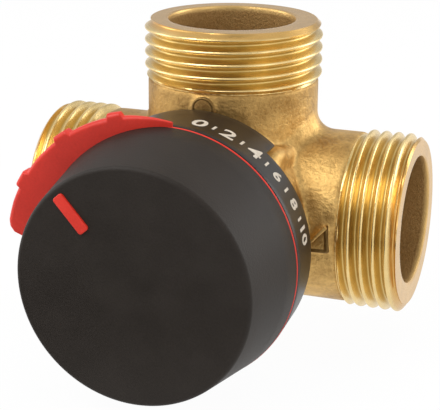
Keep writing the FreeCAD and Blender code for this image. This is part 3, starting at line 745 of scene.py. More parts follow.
    @staticmethod
    def join(pieces: list[bpy.types.Object], name: str) -> bpy.types.Object:
        """Joins pieces into the first one.

        Args:
            pieces: what to join.
            name: the joined piece's name.

        Returns:
            The joined piece.
        """
        Bench.clear()
        for piece in pieces:
            piece.select_set(True)
        bpy.context.view_layer.objects.active = pieces[0]
        bpy.ops.object.join()
        pieces[0].name = pieces[0].data.name = name
        return pieces[0]


def round_knob_axis(radius: np.ndarray, angles: np.ndarray,
                    ahead: np.ndarray) -> np.ndarray:
    """Places given round the knob's axis.

    Args:
        radius: distance from the axis.
        angles: direction in radians.
        ahead: distance in front of the port axes.

    Returns:
        The places, in the radius' own unit.
    """
    return np.stack((radius * np.cos(angles), -ahead, radius * np.sin(angles)), axis=-1)


def register(piece: bpy.types.Object, body: BodyName, slot: str, *nodes: str) -> None:
    """Ties a finished piece to the frame.

    Args:
        piece: the piece.
        body: the moving body it rides on.
        slot: name of a material slot; not used.
        *nodes: solids that it stands for.
    """
    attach(piece, body.value)
    if nodes:
        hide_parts(*nodes)
    LOG.info("%s: %d faces on %s", piece.name, len(piece.data.polygons), body.value)


# ------------------------------------------------------------------ housing


@dataclass
class Casting:
    """The one-piece brass casting, up to where the threads begin.

    Attributes:
        cut_level: how far out each neck goes, under its thread.
        voxel: size of the cells that the skin is rebuilt from.
        soften: rounds of smoothing.
        neck_radius: outside of a neck.
        mark_rise: height of a raised line over the neck.
        mark_line: its width.
        mark_depth: how deep a line's bar is, most of it inside the neck.
        mark_edge: width of the bevel on its edges.
        mark_overlap: how far two lines meet, as a share of their width.
        mark_shade: share of painted shade on a shaded line.
        round_level: level of the round mark's middle on the top neck.
        round_radius: its radius.
        round_line: half the width of its line.
        round_seat: how far the middle of its line lies in front of the neck.
        round_shade: share of painted shade on it.
        triangle: X and Z of the corners of the triangular mark.
        triangle_lifts: extra height of its foot, its side and its slope.
        fillet_bead: both ends and half the width of the bead between two necks.
        lug_end: the same for the rounded end of the upper right lug.
    """

    cut_level: float = 25.2
    voxel: float = 0.46
    soften: int = 5
    neck_radius: float = 16.0
    mark_rise: float = 0.95
    mark_line: float = 0.75
    mark_depth: float = 2.4
    mark_edge: float = 0.2
    mark_overlap: float = 0.6
    mark_shade: float = 0.8
    round_level: float = 22.4
    round_radius: float = 1.85
    round_line: float = 0.36
    round_seat: float = 0.28
    round_shade: float = 0.62
    triangle: tuple[Pair, ...] = ((19.0, -1.75), (23.75, -1.55), (23.4, 2.95))
    triangle_lifts: Triple = (-0.2, -0.1, 0.1)
    fillet_bead: tuple[Triple, Triple, float] = ((11.2, -10.3, 12.3), (15.4, 2.1, 18.3), 3.2)
    lug_end: tuple[Triple, Triple, float] = ((13.5, -19.6, 14.6), (13.1, -11.2, 14.2), 2.0)

    def build(self, paint: Paintshop) -> None:
        """Makes the blasted casting with its port marks.

        Args:
            paint: the finishes.
        """
        body = self._skin()
        casting = Bench.join([body, *self._triangle_lines(), self._round_line()], "casting")
        Bench.smooth(casting, 42.0)
        paint.coat(casting, "cast_brass")
        register(casting, BodyName.HOUSING, "cast_brass", "valve_body")

    def _skin(self) -> bpy.types.Object:
        """Softens a copy of the solid, trimmed where the lathe work starts.

        Returns:
            The skin.
        """
        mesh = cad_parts["valve_body"].data.copy()
        body = bpy.data.objects.new("casting_skin", mesh)
        bpy.context.collection.objects.link(body)
        Bench.take(body)
        bpy.ops.object.mode_set(mode="EDIT")
        Bench.merge(1e-6)
        for way in ((1, 0, 0), (-1, 0, 0), (0, 0, 1)):
            bpy.ops.mesh.select_all(action="SELECT")
            level = Vector(way) * self.cut_level * MM
            bpy.ops.mesh.bisect(plane_co=level, plane_no=way, use_fill=True,
                                clear_outer=True)
        bpy.ops.object.mode_set(mode="OBJECT")
        lumps = [self._lump(*self.fillet_bead), self._lump(*self.lug_end)]
        body = Bench.join([body, *lumps], "casting_skin")
        Bench.modify(body, "REMESH", mode="VOXEL", voxel_size=self.voxel * MM,
                     use_smooth_shade=True)
        Bench.modify(body, "SMOOTH", factor=0.5, iterations=self.soften)
        return body

    @staticmethod
    def _lump(start: Triple, end: Triple, half: float) -> bpy.types.Object:
        """A drawn-out swelling that the casting takes up.

        Args:
            start: one end in millimetres.
            end: the other end.
            half: half its width.

        Returns:
            The swelling, still apart from the casting.
        """
        run = Vector(end) - Vector(start)
        Bench.clear()
        bpy.ops.mesh.primitive_uv_sphere_add(
            segments=32, ring_count=20, radius=1.0,
            location=(Vector(start) + Vector(end)) / 2 * MM,
            rotation=run.to_track_quat("Z", "Y").to_euler())
        bpy.context.object.scale = (half * MM, half * MM, run.length / 2 * MM)
        return Bench.settle("casting_lump")

    @staticmethod
    def _paint_shade(mark: bpy.types.Object, share: float) -> bpy.types.Object:
        """Notes how much painted shade a mark holds.

        Args:
            mark: the raised mark.
            share: 0 for no shade to 1 for black.

        Returns:
            The same mark.
        """
        layer = mark.data.attributes.new("soil", "FLOAT", "POINT")
        layer.data.foreach_set("value", [share] * len(mark.data.vertices))
        return mark

    def _round_line(self) -> bpy.types.Object:
        """Raises the round mark on the front of the top neck, darkened by painted shade.

        Returns:
            The mark.
        """
        ahead = self.neck_radius + self.round_seat
        Bench.clear()
        bpy.ops.mesh.primitive_torus_add(
            major_segments=64, minor_segments=16, major_radius=self.round_radius * MM,
            minor_radius=self.round_line * MM, rotation=(math.pi / 2, 0.0, 0.0),
            location=(0.0, -ahead * MM, self.round_level * MM))
        # painted shade over the whole round mark
        return self._paint_shade(Bench.settle("mark_ring"), self.round_shade)

    def _bar(self, start: Pair, end: Pair, lift: float = 0.0,
             soil: float = 0.0) -> bpy.types.Object:
        """Lays one raised line on the front of a neck.

        Args:
            start: X and Z of one end.
            end: X and Z of the other end.
            lift: extra height.
            soil: share of painted shade on it.

        Returns:
            The bar.
        """
        run, rise = end[0] - start[0], end[1] - start[1]
        length = math.hypot(run, rise) + self.mark_line * self.mark_overlap
        middle_z = (start[1] + end[1]) / 2
        front = math.sqrt(self.neck_radius ** 2 - middle_z ** 2)
        sunk = front + self.mark_rise + lift - self.mark_depth / 2
        bar = Bench.box((length * MM, self.mark_depth * MM, self.mark_line * MM),
                        ((start[0] + end[0]) / 2 * MM, -sunk * MM, middle_z * MM))
        bar.rotation_euler = (0.0, -math.atan2(rise, run), 0.0)
        Bench.settle("mark_line")
        Bench.modify(bar, "BEVEL", width=self.mark_edge * MM, segments=3)
        return self._paint_shade(bar, soil)

    def _triangle_lines(self) -> list[bpy.types.Object]:
        """Raises the triangular mark on the right neck; its foot and its right side carry
        painted shade.

        Returns:
            Its three lines.
        """
        left, corner, peak = self.triangle
        foot, side, slope = self.triangle_lifts
        # painted shade on the foot and the right side; the slope stays unshaded
        return [self._bar(left, corner, foot, self.mark_shade),
                self._bar(corner, peak, side, self.mark_shade),
                self._bar(left, peak, slope)]


@dataclass
class ThreadedPort:
    """One male pipe thread with its face and bore.

    Attributes:
        side: which port it is.
        start_angle: where the groove starts.
        first_groove: level of the first groove at its start.
        bore_shift: how far the bore lies off the port's axis, in the sleeve's own X and Y.
        reach: level of the port's face.
        root_level: where the sleeve starts, inside the casting.
        shoulder: where the thread starts.
        tuck_radius: size of the end inside the casting.
        lead_in: how far below the shoulder the neck starts to grow.
        lead_slope: how fast it grows.
        crest_radius: outside of the thread.
        depth: how deep the groove is cut.
        pitch: distance from one groove to the next.
        chamfer: size of the chamfer at the face.
        bore_radius: inside of the port.
        face_rows: radii across the flat face.
        lip: how far past the bore and below the face the rows of its edge lie, and
            their share of the bore's finish.
        bore_rows: first level, end and step of the rows down the bore.
        bore_end: level of the last row before the flare.
        bore_flare: how much wider the bore ends.
        flank_lean: half the angle between two flanks.
        round_share: radius of roots and crests, as a share of the pitch.
        fade_turns: how much of a turn the groove takes to reach its depth.
        faced_fade: height over which the turned finish gives way to the faced one.
        neck_shade: share of the roots' painted shade and roughness below the thread.
        face_shade: the same inside the sleeve.
        columns: facets round the sleeve.
        row_step: distance between rows on the thread.
    """

    side: PortSide
    start_angle: float
    first_groove: float
    bore_shift: Pair = (0.0, 0.0)
    reach: float = 36.0
    root_level: float = 24.4
    shoulder: float = 25.4
    tuck_radius: float = 15.72
    lead_in: float = 0.3
    lead_slope: float = 1.35
    crest_radius: float = 16.62
    depth: float = 1.48
    pitch: float = 2.309
    chamfer: float = 1.1
    bore_radius: float = 11.8
    face_rows: tuple[float, ...] = (15.2, 14.0, 12.75, 12.1)
    lip: tuple[Triple, ...] = ((0.1, 0.1, 0.15), (0.0, 0.4, 0.5))
    bore_rows: Triple = (34.9, 25.2, -0.8)
    bore_end: float = 25.25
    bore_flare: float = 0.15
    flank_lean: float = 27.5
    round_share: float = 0.137329
    fade_turns: float = 0.12
    faced_fade: float = 0.3
    neck_shade: float = 0.3
    face_shade: float = 0.35
    columns: int = 264
    row_step: float = 0.105

    def build(self, paint: Paintshop) -> None:
        """Makes the sleeve and sets it on its port.

        Args:
            paint: the finishes.
        """
        points, shares = self._surface()
        sleeve = Bench.wrap("thread_" + self.side.value, self._placed(points) * MM, shares)
        Bench.smooth(sleeve, 34.0)
        paint.coat(sleeve, "turned_brass")
        register(sleeve, BodyName.HOUSING, "turned_brass", "valve_body")

    def _placed(self, local: np.ndarray) -> np.ndarray:
        """Turns points from the thread's own frame to the port's place.

        Args:
            local: places with Z along the port's axis.

        Returns:
            The same places in the valve's frame.
        """
        x, y, z = local[..., 0], local[..., 1], local[..., 2]
        if self.side is PortSide.RIGHT:
            return np.stack((z, y, -x), axis=-1)
        if self.side is PortSide.LEFT:
            return np.stack((-z, y, x), axis=-1)
        return local

    def _form(self, share: np.ndarray) -> np.ndarray:
        """The 55 degree thread form with its rounded roots and crests.

        Args:
            share: 0 in the middle of a root to 1 in the middle of a crest.

        Returns:
            Height, 0 at the root to 1 at the crest.
        """
        half = self.pitch / 2.0
        round_radius = self.round_share * self.pitch
        lean = math.radians(self.flank_lean)
        away = np.minimum(share, 1.0 - share) * half
        arc = round_radius * math.cos(lean)
        sagged = round_radius - np.sqrt(np.maximum(round_radius ** 2 - away ** 2, 0.0))
        at_arc = round_radius * (1.0 - math.sin(lean))
        straight = at_arc + (away - arc) / math.tan(lean)
        low = np.where(away < arc, sagged, straight)
        full = 2.0 * (at_arc + (half / 2.0 - arc) / math.tan(lean))
        return np.where(share < 0.5, low, full - low) / full

    def _surface(self) -> tuple[np.ndarray, dict[str, np.ndarray]]:
        """Corner places and attributes of the whole sleeve.

        Returns:
            Points (rows, columns, 3), and the shares of groove, bore and faced metal.
        """
        angles = np.radians(np.linspace(0.0, 360.0, self.columns + 1))
        outer, cut, z = self._outside(angles)
        inner, inside = self._inside(angles)
        inner = np.concatenate((inner, outer[:1]))
        inside = np.concatenate((inside, np.ones((1, len(angles)))))
        chamfered = np.clip((z - self.reach + self.chamfer) / self.faced_fade, 0.0, 1.0)
        # the groove share sets the painted shade of the roots and their roughness
        groove = np.where(z < self.shoulder, self.neck_shade, cut)
        shares = {"groove": np.concatenate((groove, np.full(inside.shape, self.face_shade))),
                  "bore": np.concatenate((np.zeros(z.shape), inside)),
                  "face": np.concatenate((chamfered, 1.0 - inside))}
        return np.concatenate((outer, inner)), shares

    def _outside(self, angles: np.ndarray) -> tuple[np.ndarray, np.ndarray, np.ndarray]:
        """Threaded outside of the sleeve, from the casting to the face.

        Args:
            angles: directions of the columns, in radians.

        Returns:
            Points, depth of cut from 0 to 1, and level of each corner.
        """
        top = self.reach - self.chamfer
        levels = np.concatenate((
            [self.root_level, self.shoulder - self.lead_in],
            np.arange(self.shoulder, top, self.row_step),
            np.linspace(top, self.reach, 7)))
        turn = (np.degrees(angles) - self.start_angle) % 360.0 / 360.0
        z = levels[:, None] + np.zeros_like(angles)[None, :]
        along = (z - self.first_groove) / self.pitch - turn[None, :]
        count = np.maximum(np.round(along), 0.0)
        height = self._form(np.clip(np.abs(along - count) * 2.0, 0.0, 1.0))
        fade = np.clip((turn[None, :] + count) / self.fade_turns, 0.0, 1.0)
        fade = fade * fade * (3.0 - 2.0 * fade)
        cut = (1.0 - height) * fade
        rise = (z - self.shoulder + self.lead_in) * self.lead_slope
        crest = np.clip(self.tuck_radius + rise, self.tuck_radius, self.crest_radius)
        limit = self.crest_radius - np.clip(z - top, 0.0, None)
        radius = np.minimum(np.minimum(crest, self.crest_radius - self.depth * cut), limit)
        radius[:2] = self.tuck_radius
        points = np.stack((radius * np.cos(angles), radius * np.sin(angles), z), axis=-1)
        return points, cut, z

    def _inside(self, angles: np.ndarray) -> tuple[np.ndarray, np.ndarray]:
        """Flat face, its inner edge and the bore, down to the casting.

        Args:
            angles: directions of the columns, in radians.

        Returns:
            Points, and their share of the bore's finish.
        """
        bore = self.bore_radius
        rings = [(radius, self.reach, 0.0) for radius in self.face_rows]
        rings += [(bore + past, self.reach - below, share) for past, below, share in self.lip]
        rings += [(bore, level, 1.0) for level in np.arange(*self.bore_rows)]
        rings += [(bore, self.bore_end, 1.0), (bore + self.bore_flare, self.root_level, 1.0)]
        edge = self.crest_radius - self.chamfer
        points = []
        for ring, level, _ in rings:
            pull = min(1.0, max(0.0, (edge - ring) / (edge - bore)))
            points.append(np.stack((
                ring * np.cos(angles) + self.bore_shift[0] * pull,
                ring * np.sin(angles) + self.bore_shift[1] * pull,
                np.full_like(angles, level)), axis=-1))
        return np.array(points), np.array([np.full_like(angles, ring[2]) for ring in rings])


@dataclass
class DialRing:
    """Black ring behind the knob, with a skirt that is deeper over the top.

    Attributes:
        face: level of the flat front.
        short: level where most of the skirt ends.
        deep: level where its deep sector ends.
        front_radius: outside of the ring at its front.
        back_radius: outside at the end of the deep sector.
        inner_radius: radius of the opening round the shaft.
        wall: thickness.
        deep_from: angle where the deep sector starts.
        deep_to: angle where it ends.
        front_edge: size of the eased edge round the front.
        edge_middle: how far its middle lies inside the corner.
        flat_row: radius of a row of faces on the flat front.
        front_rows: levels of the rows in front of the short skirt's end.
        deep_rows: levels of the rows behind it.
        steps: facets round the ring.
    """

    face: float = 32.6
    short: float = 23.7
    deep: float = 18.3
    front_radius: float = 23.4
    back_radius: float = 22.7
    inner_radius: float = 10.2
    wall: float = 1.3
    deep_from: float = 51.0
    deep_to: float = 129.0
    front_edge: float = 0.35
    edge_middle: float = 0.1
    flat_row: float = 17.0
    front_rows: tuple[float, ...] = (31.0, 29.0, 27.0, 25.0)
    deep_rows: tuple[float, ...] = (21.9, 20.1)
    steps: int = 120

    def radius(self, level: float) -> float:
        """Outside radius of the skirt at a distance from the port axes."""
        share = (level - self.deep) / (self.face - self.deep)
        return self.back_radius + (self.front_radius - self.back_radius) * share

    def build(self, paint: Paintshop) -> None:
        """Makes the ring as a skin, cuts its skirt and gives it a wall.

        Args:
            paint: the finishes.
        """
        profile = [(self.inner_radius, self.face), (self.flat_row, self.face),
                   (self.front_radius - self.front_edge, self.face),
                   (self.front_radius - self.edge_middle, self.face - self.edge_middle)]
        levels = (self.face - self.front_edge, *self.front_rows, self.short,
                  *self.deep_rows, self.deep)
        profile += [(self.radius(level), level) for level in levels]
        ring = Bench.lathe("dial_ring", profile, self.steps)
        self._cut_skirt(ring)
        Bench.modify(ring, "SOLIDIFY", thickness=self.wall * MM, offset=-1.0,
                     use_even_offset=True)
        Bench.ease(ring)
        Bench.smooth(ring, 35.0)
        paint.coat(ring, "ring_black")
        register(ring, BodyName.HOUSING, "ring_black", "scale_ring")

    def _cut_skirt(self, ring: bpy.types.Object) -> None:
        """Takes the back of the skirt away outside the deep sector.

        Args:
            ring: the ring, still a skin without a wall.
        """
        mesh = ring.data
        wanted = []
        for face in mesh.polygons:
            centre = face.center / MM
            angle = math.degrees(math.atan2(centre.z, centre.x)) % 360.0
            outside = not self.deep_from < angle < self.deep_to
            wanted.append(-centre.y < self.short - 0.01 and outside)
        Bench.pick(ring, "FACE", wanted)
        bpy.ops.mesh.delete(type="FACE")
        Bench.turn_out()
        # An open skin has no inside, so its faces can all come out the wrong way round.
        out = sum(1 for face in mesh.polygons
                  if Vector((face.center.x, 0.0, face.center.z)).dot(face.normal) > 1e-4)
        if out < len(mesh.polygons) // 3:
            mesh.flip_normals()


@dataclass
class DialPrint:
    """Plain numbers and strokes printed on the ring's skirt, large numbers on top.

    Attributes:
        ring: the ring that carries them.
        level: level of the numbers' middle.
        first_angle: angle of the first number.
        step_angle: angle between two numbers.
        rise: how far the print stands over the skirt.
        sink: how far it reaches into it.
        large: size of the numbers on top.
        small: size of the others.
        large_above: angle from which a number counts as on top.
        bold: how much the letters' outline grows.
        half_thick: half the thickness of a piece of print while it is flat.
        stroke: width and height of a stroke.
        numbers: what is printed.
    """

    ring: DialRing
    level: float = 27.6
    first_angle: float = 81.0
    step_angle: float = 13.6
    rise: float = 0.06
    sink: float = 0.1
    large: float = 5.6
    small: float = 3.9
    large_above: float = 50.0
    bold: float = 0.09
    half_thick: float = 0.1
    stroke: Pair = (0.45, 2.0)
    numbers: tuple[str, ...] = ("0", "2", "4", "6", "8", "10")

    def build(self, paint: Paintshop) -> None:
        """Prints every number and the strokes between them.

        Args:
            paint: the finishes.
        """
        parts = []
        for count, number in enumerate(self.numbers):
            angle = self.first_angle - count * self.step_angle
            size = self.large if angle > self.large_above else self.small
            parts.append(self._bent(self._number(number, size), angle))
            if count + 1 < len(self.numbers):
                parts.append(self._bent(self._stroke(), angle - self.step_angle / 2))
        prints = Bench.join(parts, "dial_print")
        paint.coat(prints, "dial_print")
        register(prints, BodyName.HOUSING, "ring_black")

    def _number(self, text: str, size: float) -> bpy.types.Object:
        """Makes a flat number, centred, in millimetres.

        Args:
            text: the number.
            size: its size.

        Returns:
            The number as a mesh.
        """
        Bench.clear()
        bpy.ops.object.text_add()
        words = bpy.context.object
        words.data.body = text
        words.data.size = size
        words.data.offset = self.bold
        words.data.extrude = self.half_thick
        words.data.resolution_u = 4
        words.data.align_x = "CENTER"
        words.data.align_y = "CENTER"
        bpy.ops.object.convert(target="MESH")
        bpy.ops.object.mode_set(mode="EDIT")
        Bench.merge(1e-4)
        bpy.ops.object.mode_set(mode="OBJECT")
        return bpy.context.object

    def _stroke(self) -> bpy.types.Object:
        """A flat upright stroke, centred, in millimetres."""
        Bench.box((*self.stroke, 2 * self.half_thick))
        return Bench.settle("dial_stroke")

    def _bent(self, flat: bpy.types.Object, angle: float) -> bpy.types.Object:
        """Lays a flat piece round the skirt.

        Args:
            flat: the piece, X along the text and Y up it.
            angle: where its middle goes.

        Returns:
            The same piece in its place.
        """
        count = len(flat.data.vertices)
        places = np.empty(count * 3)
        flat.data.vertices.foreach_get("co", places)
        places = places.reshape(-1, 3)
        level = self.level - places[:, 1]
        skirt = np.array([self.ring.radius(one) for one in level])
        around = math.radians(angle) - places[:, 0] / self.ring.front_radius
        out = skirt + np.where(places[:, 2] > 0.0, self.rise, -self.sink)
        bent = round_knob_axis(out, around, level)
        flat.data.vertices.foreach_set("co", (bent * MM).reshape(-1))
        flat.data.update()
        Bench.take(flat)
        bpy.ops.object.mode_set(mode="EDIT")
        Bench.turn_out()
        return flat


# ------------------------------------------------------------------ knob


@dataclass
class Knob:
    """Black cap, red carrier disc, pointer bar and thumb grip.

    Attributes:
        base: level where the cap meets the disc.
        face: level of the cap's plain front.
        base_radius: outside of the cap at its foot.
        face_radius: outside at its front, before the rim is rounded.
        rim: radius of the edge round the front.
        rim_steps: facets across that edge.
        foot: size of the small chamfer at the cap's foot, across and up.
        front_rows: radii of the rows of faces on the front.
        wall: thickness of the cap.
        hollow_radius: size of the cap's hollow under its front.
        hollow_edge: size of the chamfer in the hollow.
        disc_back: level of the disc's back.
        disc_radius: outside of the disc.
        disc_hole: radius of its hole.
        disc_edge: size of the eased edges.
        disc_swell: how far the middle of the disc's edge stands out.
        pointer_angle: angle of the pointer bar.
        pointer_from: radius where it starts.
        pointer_length: its length.
        pointer_width: its width.
        pointer_rise: how far it stands over the front.
        pointer_corner: radius of its corners, seen from the front.
        grip_root: radius where the grip starts, under the cap.
        grip_front: highest level of the grip's front.
        grip_slope: lean of the grip's front across the knob.
        grip_first: angle of the grip's thin end.
        grip_last: angle of its thick end.
        grip_thin: radius at the thin end.
        grip_swell: how much the radius grows.
        grip_growth: place along the grip and share of the swell there.
        grip_foot: how far inside the edge and over the back the rows of its foot lie.
        grip_lip: radius of the edge round the grip's front, where there is room for it.
        lip_steps: facets across that edge.
        grip_steps: rows of faces along the grip.
        ribs: places of the three ribs along the grip.
        rib_half: half a rib's width, as a share of the grip.
        rib_rise: how far a rib stands out.
        facets: faces round the turned pieces.
    """

    base: float = 33.3
    face: float = 49.6
    base_radius: float = 23.3
    face_radius: float = 20.7
    rim: float = 0.8
    rim_steps: int = 12
    foot: Pair = (0.05, 0.1)
    front_rows: tuple[float, ...] = (16.0, 12.0, 8.0, 4.0, 0.0)
    wall: float = 2.1
    hollow_radius: float = 17.4
    hollow_edge: float = 0.7
    disc_back: float = 32.85
    disc_radius: float = 23.35
    disc_hole: float = 10.6
    disc_edge: float = 0.08
    disc_swell: float = 0.02
    pointer_angle: float = 131.2
    pointer_from: float = 12.0
    pointer_length: float = 7.4
    pointer_width: float = 2.1
    pointer_rise: float = 0.38
    pointer_corner: float = 0.5
    grip_root: float = 22.5
    grip_front: float = 36.4
    grip_slope: float = 6.3
    grip_first: float = 88.0
    grip_last: float = 177.0
    grip_thin: float = 24.2
    grip_swell: float = 5.3
    grip_growth: tuple[Pair, ...] = (
        (0.0, 0.0), (0.05, 0.06), (0.13, 0.16), (0.24, 0.32), (0.35, 0.45), (0.46, 0.58),
        (0.56, 0.70), (0.66, 0.80), (0.76, 0.88), (0.86, 0.96), (0.94, 1.0), (0.965, 0.95),
        (0.985, 0.80), (1.0, 0.45))
    grip_foot: tuple[Pair, ...] = ((0.25, 0.0), (0.06, 0.06), (0.0, 0.16))
    grip_lip: float = 0.95
    lip_steps: int = 8
    grip_steps: int = 260
    ribs: tuple[float, ...] = (0.261, 0.511, 0.762)
    rib_half: float = 0.037
    rib_rise: float = 0.75
    facets: int = 168

    def build(self, paint: Paintshop) -> None:
        """Makes and dresses the knob's pieces.

        Args:
            paint: the finishes.
        """
        cap = self._cap()
        paint.coat(cap, "knob_black")
        register(cap, BodyName.KNOB, "knob_black", "knob_cover")
        for piece in (self._disc(), self._pointer(), self._grip()):
            paint.coat(piece, "knob_red")
            register(piece, BodyName.KNOB, "knob_red", "knob_core")

    def _cap(self) -> bpy.types.Object:
        """Turns the tapering cap with its soft rim and its hollow.

        Returns:
            The cap.
        """
        slope = math.atan2(self.base_radius - self.face_radius, self.face - self.base)
        reach = self.rim * math.tan((math.pi / 2 - slope) / 2)
        centre = (self.face_radius - reach, self.face - self.rim)
        profile = [(self.base_radius - self.foot[0], self.base),
                   (self.base_radius, self.base + self.foot[1])]
        side = self.base_radius - self.face_radius
        for share in (0.25, 0.5, 0.75):
            level = self.base + share * (self.face - self.base)
            profile.append((self.base_radius - side * share, level))
        for step in range(self.rim_steps + 1):
            angle = slope + (math.pi / 2 - slope) * step / self.rim_steps
            profile.append((centre[0] + self.rim * math.cos(angle),
                            centre[1] + self.rim * math.sin(angle)))
        profile += [(radius, self.face) for radius in self.front_rows]
        inner = self.face - self.wall
        hollow = [(0.0, inner), (self.hollow_radius, inner),
                  (self.hollow_radius + self.hollow_edge, inner - self.hollow_edge),
                  (self.base_radius - self.wall, self.base)]
        outside = Bench.lathe("knob_cap", profile, self.facets)
        inside = Bench.lathe("knob_cap_inside", hollow, self.facets)
        inside.data.flip_normals()
        cap = Bench.join([outside, inside], "knob_cap")
        Bench.take(cap)
        bpy.ops.object.mode_set(mode="EDIT")
        Bench.pick_rims()
        bpy.ops.mesh.bridge_edge_loops()
        Bench.turn_out()
        Bench.smooth(cap, 40.0)
        return cap

    def _disc(self) -> bpy.types.Object:
        """Turns the red disc whose edge shows as a thin line.

        Returns:
            The disc.
        """
        low, high, hole = self.disc_back, self.base, self.disc_hole
        out, edge = self.disc_radius, self.disc_edge
        disc = Bench.lathe("knob_disc", [
            (hole, low), (out - edge, low), (out, low + edge),
            (out + self.disc_swell, (low + high) / 2), (out, high - edge),
            (out - edge, high), (hole, high), (hole, low)], self.facets)
        Bench.smooth(disc, 40.0)
        return disc

    def _pointer(self) -> bpy.types.Object:
        """Makes the red bar that shows the setting.

        Returns:
            The bar.
        """
        low, high = self.base, self.face + self.pointer_rise
        middle = self.pointer_from + self.pointer_length / 2
        bar = Bench.box(
            (self.pointer_length * MM, (high - low) * MM, self.pointer_width * MM),
            (middle * MM, -(low + high) / 2 * MM, 0.0))
        Bench.settle("knob_pointer")
        self._round_corners(bar)
        Bench.ease(bar)
        bar.rotation_euler = (0.0, -math.radians(self.pointer_angle), 0.0)
        Bench.settle("knob_pointer")
        Bench.smooth(bar, 50.0)
        return bar

    def _round_corners(self, bar: bpy.types.Object) -> None:
        """Rounds the four corners of the bar's outline.

        Args:
            bar: the bar, before it is turned to its angle.
        """
        places = [vertex.co.copy() for vertex in bar.data.vertices]
        wanted = []
        for edge in bar.data.edges:
            run = places[edge.vertices[0]] - places[edge.vertices[1]]
            wanted.append(abs(run.x) + abs(run.z) < 1e-7)
        Bench.pick(bar, "EDGE", wanted)
        bpy.ops.mesh.bevel(offset=self.pointer_corner * MM, segments=6)
        bpy.ops.object.mode_set(mode="OBJECT")

    def _grip_radius(self, share: np.ndarray) -> np.ndarray:
        """Outer radius of the grip along its length.

        Args:
            share: 0 at the thin end to 1 at the thick end.

        Returns:
            The radius in millimetres.
        """
        places, grown = zip(*self.grip_growth)
        radius = self.grip_thin + self.grip_swell * np.interp(share, places, grown)
        for centre in self.ribs:
            away = np.clip(1.0 - (np.abs(share - centre) / self.rib_half) ** 2, 0.0, 1.0)
            rise = np.minimum(1.0, 2.2 * away)
            radius = radius + self.rib_rise * rise * rise * (3.0 - 2.0 * rise)
        return radius

    def _grip(self) -> bpy.types.Object:
        """Makes the thumb grip that swells round the knob's edge.

        Returns:
            The grip.
        """
        share = np.linspace(0.0, 1.0, self.grip_steps)
        angles = np.radians(self.grip_first + (self.grip_last - self.grip_first) * share)
        radius = self._grip_radius(share)
        inner, back = self.grip_root, self.disc_back
        lean = math.tan(math.radians(self.grip_slope))

        def front(out: np.ndarray) -> np.ndarray:
            """Level of the sloping front at a radius."""
            return np.minimum(self.grip_front, self.base - lean * out * np.cos(angles))

        lip = np.minimum(np.minimum(self.grip_lip, (radius - inner) * 0.5),
                         (front(radius) - back) * 0.6)
        start = np.full_like(radius, inner)
        floor = np.full_like(radius, back)
        rows = [(start, floor)]
        rows += [(radius - inside, floor + over) for inside, over in self.grip_foot]
        for step in range(self.lip_steps + 1):
            turn = math.pi / 2 * step / self.lip_steps
            out = radius - lip + lip * math.cos(turn)
            rows.append((out, front(out) - lip + lip * math.sin(turn)))
        middle = (start + radius - lip) / 2
        rows += [(middle, front(middle)), (start + 0.1, front(start)), (start, floor)]
        points = np.array([round_knob_axis(out, angles, level) for out, level in rows])
        grip = Bench.wrap("knob_grip", np.transpose(points, (1, 0, 2)) * MM, capped=True)
        Bench.smooth(grip, 40.0)
        return grip


# ------------------------------------------------------------------ carried solids


@dataclass
class InnerParts:
    """Solids that keep their own mesh and only get a finish.

    Attributes:
        finishes: each solid's name and its finish.
    """

    finishes: tuple[tuple[str, str], ...] = (
        ("bonnet", "bonnet_composite"), ("bonnet_o_ring", "seal_rubber"),
        ("shaft", "shaft_composite"), ("shaft_insert", "turned_brass"),
        ("shaft_o_ring_1", "seal_rubber"), ("shaft_o_ring_2", "seal_rubber"),
        ("thrust_washer", "washer_ptfe"), ("rotor", "turned_brass"),
        ("bonnet_screw_1", "screw_steel"), ("bonnet_screw_2", "screw_steel"),
        ("bonnet_screw_3", "screw_steel"), ("bonnet_screw_4", "screw_steel"))

    def build(self, paint: Paintshop) -> None:
        """Dresses each solid.

        Args:
            paint: the finishes.
        """
        for name, finish in self.finishes:
            paint.recoat(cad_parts[name], finish)
            LOG.info("%s dressed as %s", name, finish)


# ------------------------------------------------------------------ studio


@dataclass(frozen=True)
class Lamp:
    """A soft lamp that looks at the valve, placed in metres.

    Attributes:
        name: the lamp's name.
        place: where it hangs.
        width: its size across.
        height: its size upwards.
        power: watts.
        mirrored: whether metal shows it.
    """

    name: str
    place: Triple
    width: float
    height: float
    power: float
    mirrored: bool = True


@dataclass(frozen=True)
class Flag:
    """A card of one shade, placed round the valve in metres.

    Attributes:
        name: the card's name.
        azimuth: direction from the valve, 0 in front of the knob.
        away: distance from the valve's axis.
        level: height of its middle.
        width: its size across.
        height: its other size.
        shade: how bright mirrors see it, 0 to 1.
        upright: standing on the floor, or lying flat overhead.
    """

    name: str
    azimuth: float
    away: float
    level: float
    width: float
    height: float
    shade: float
    upright: bool = True


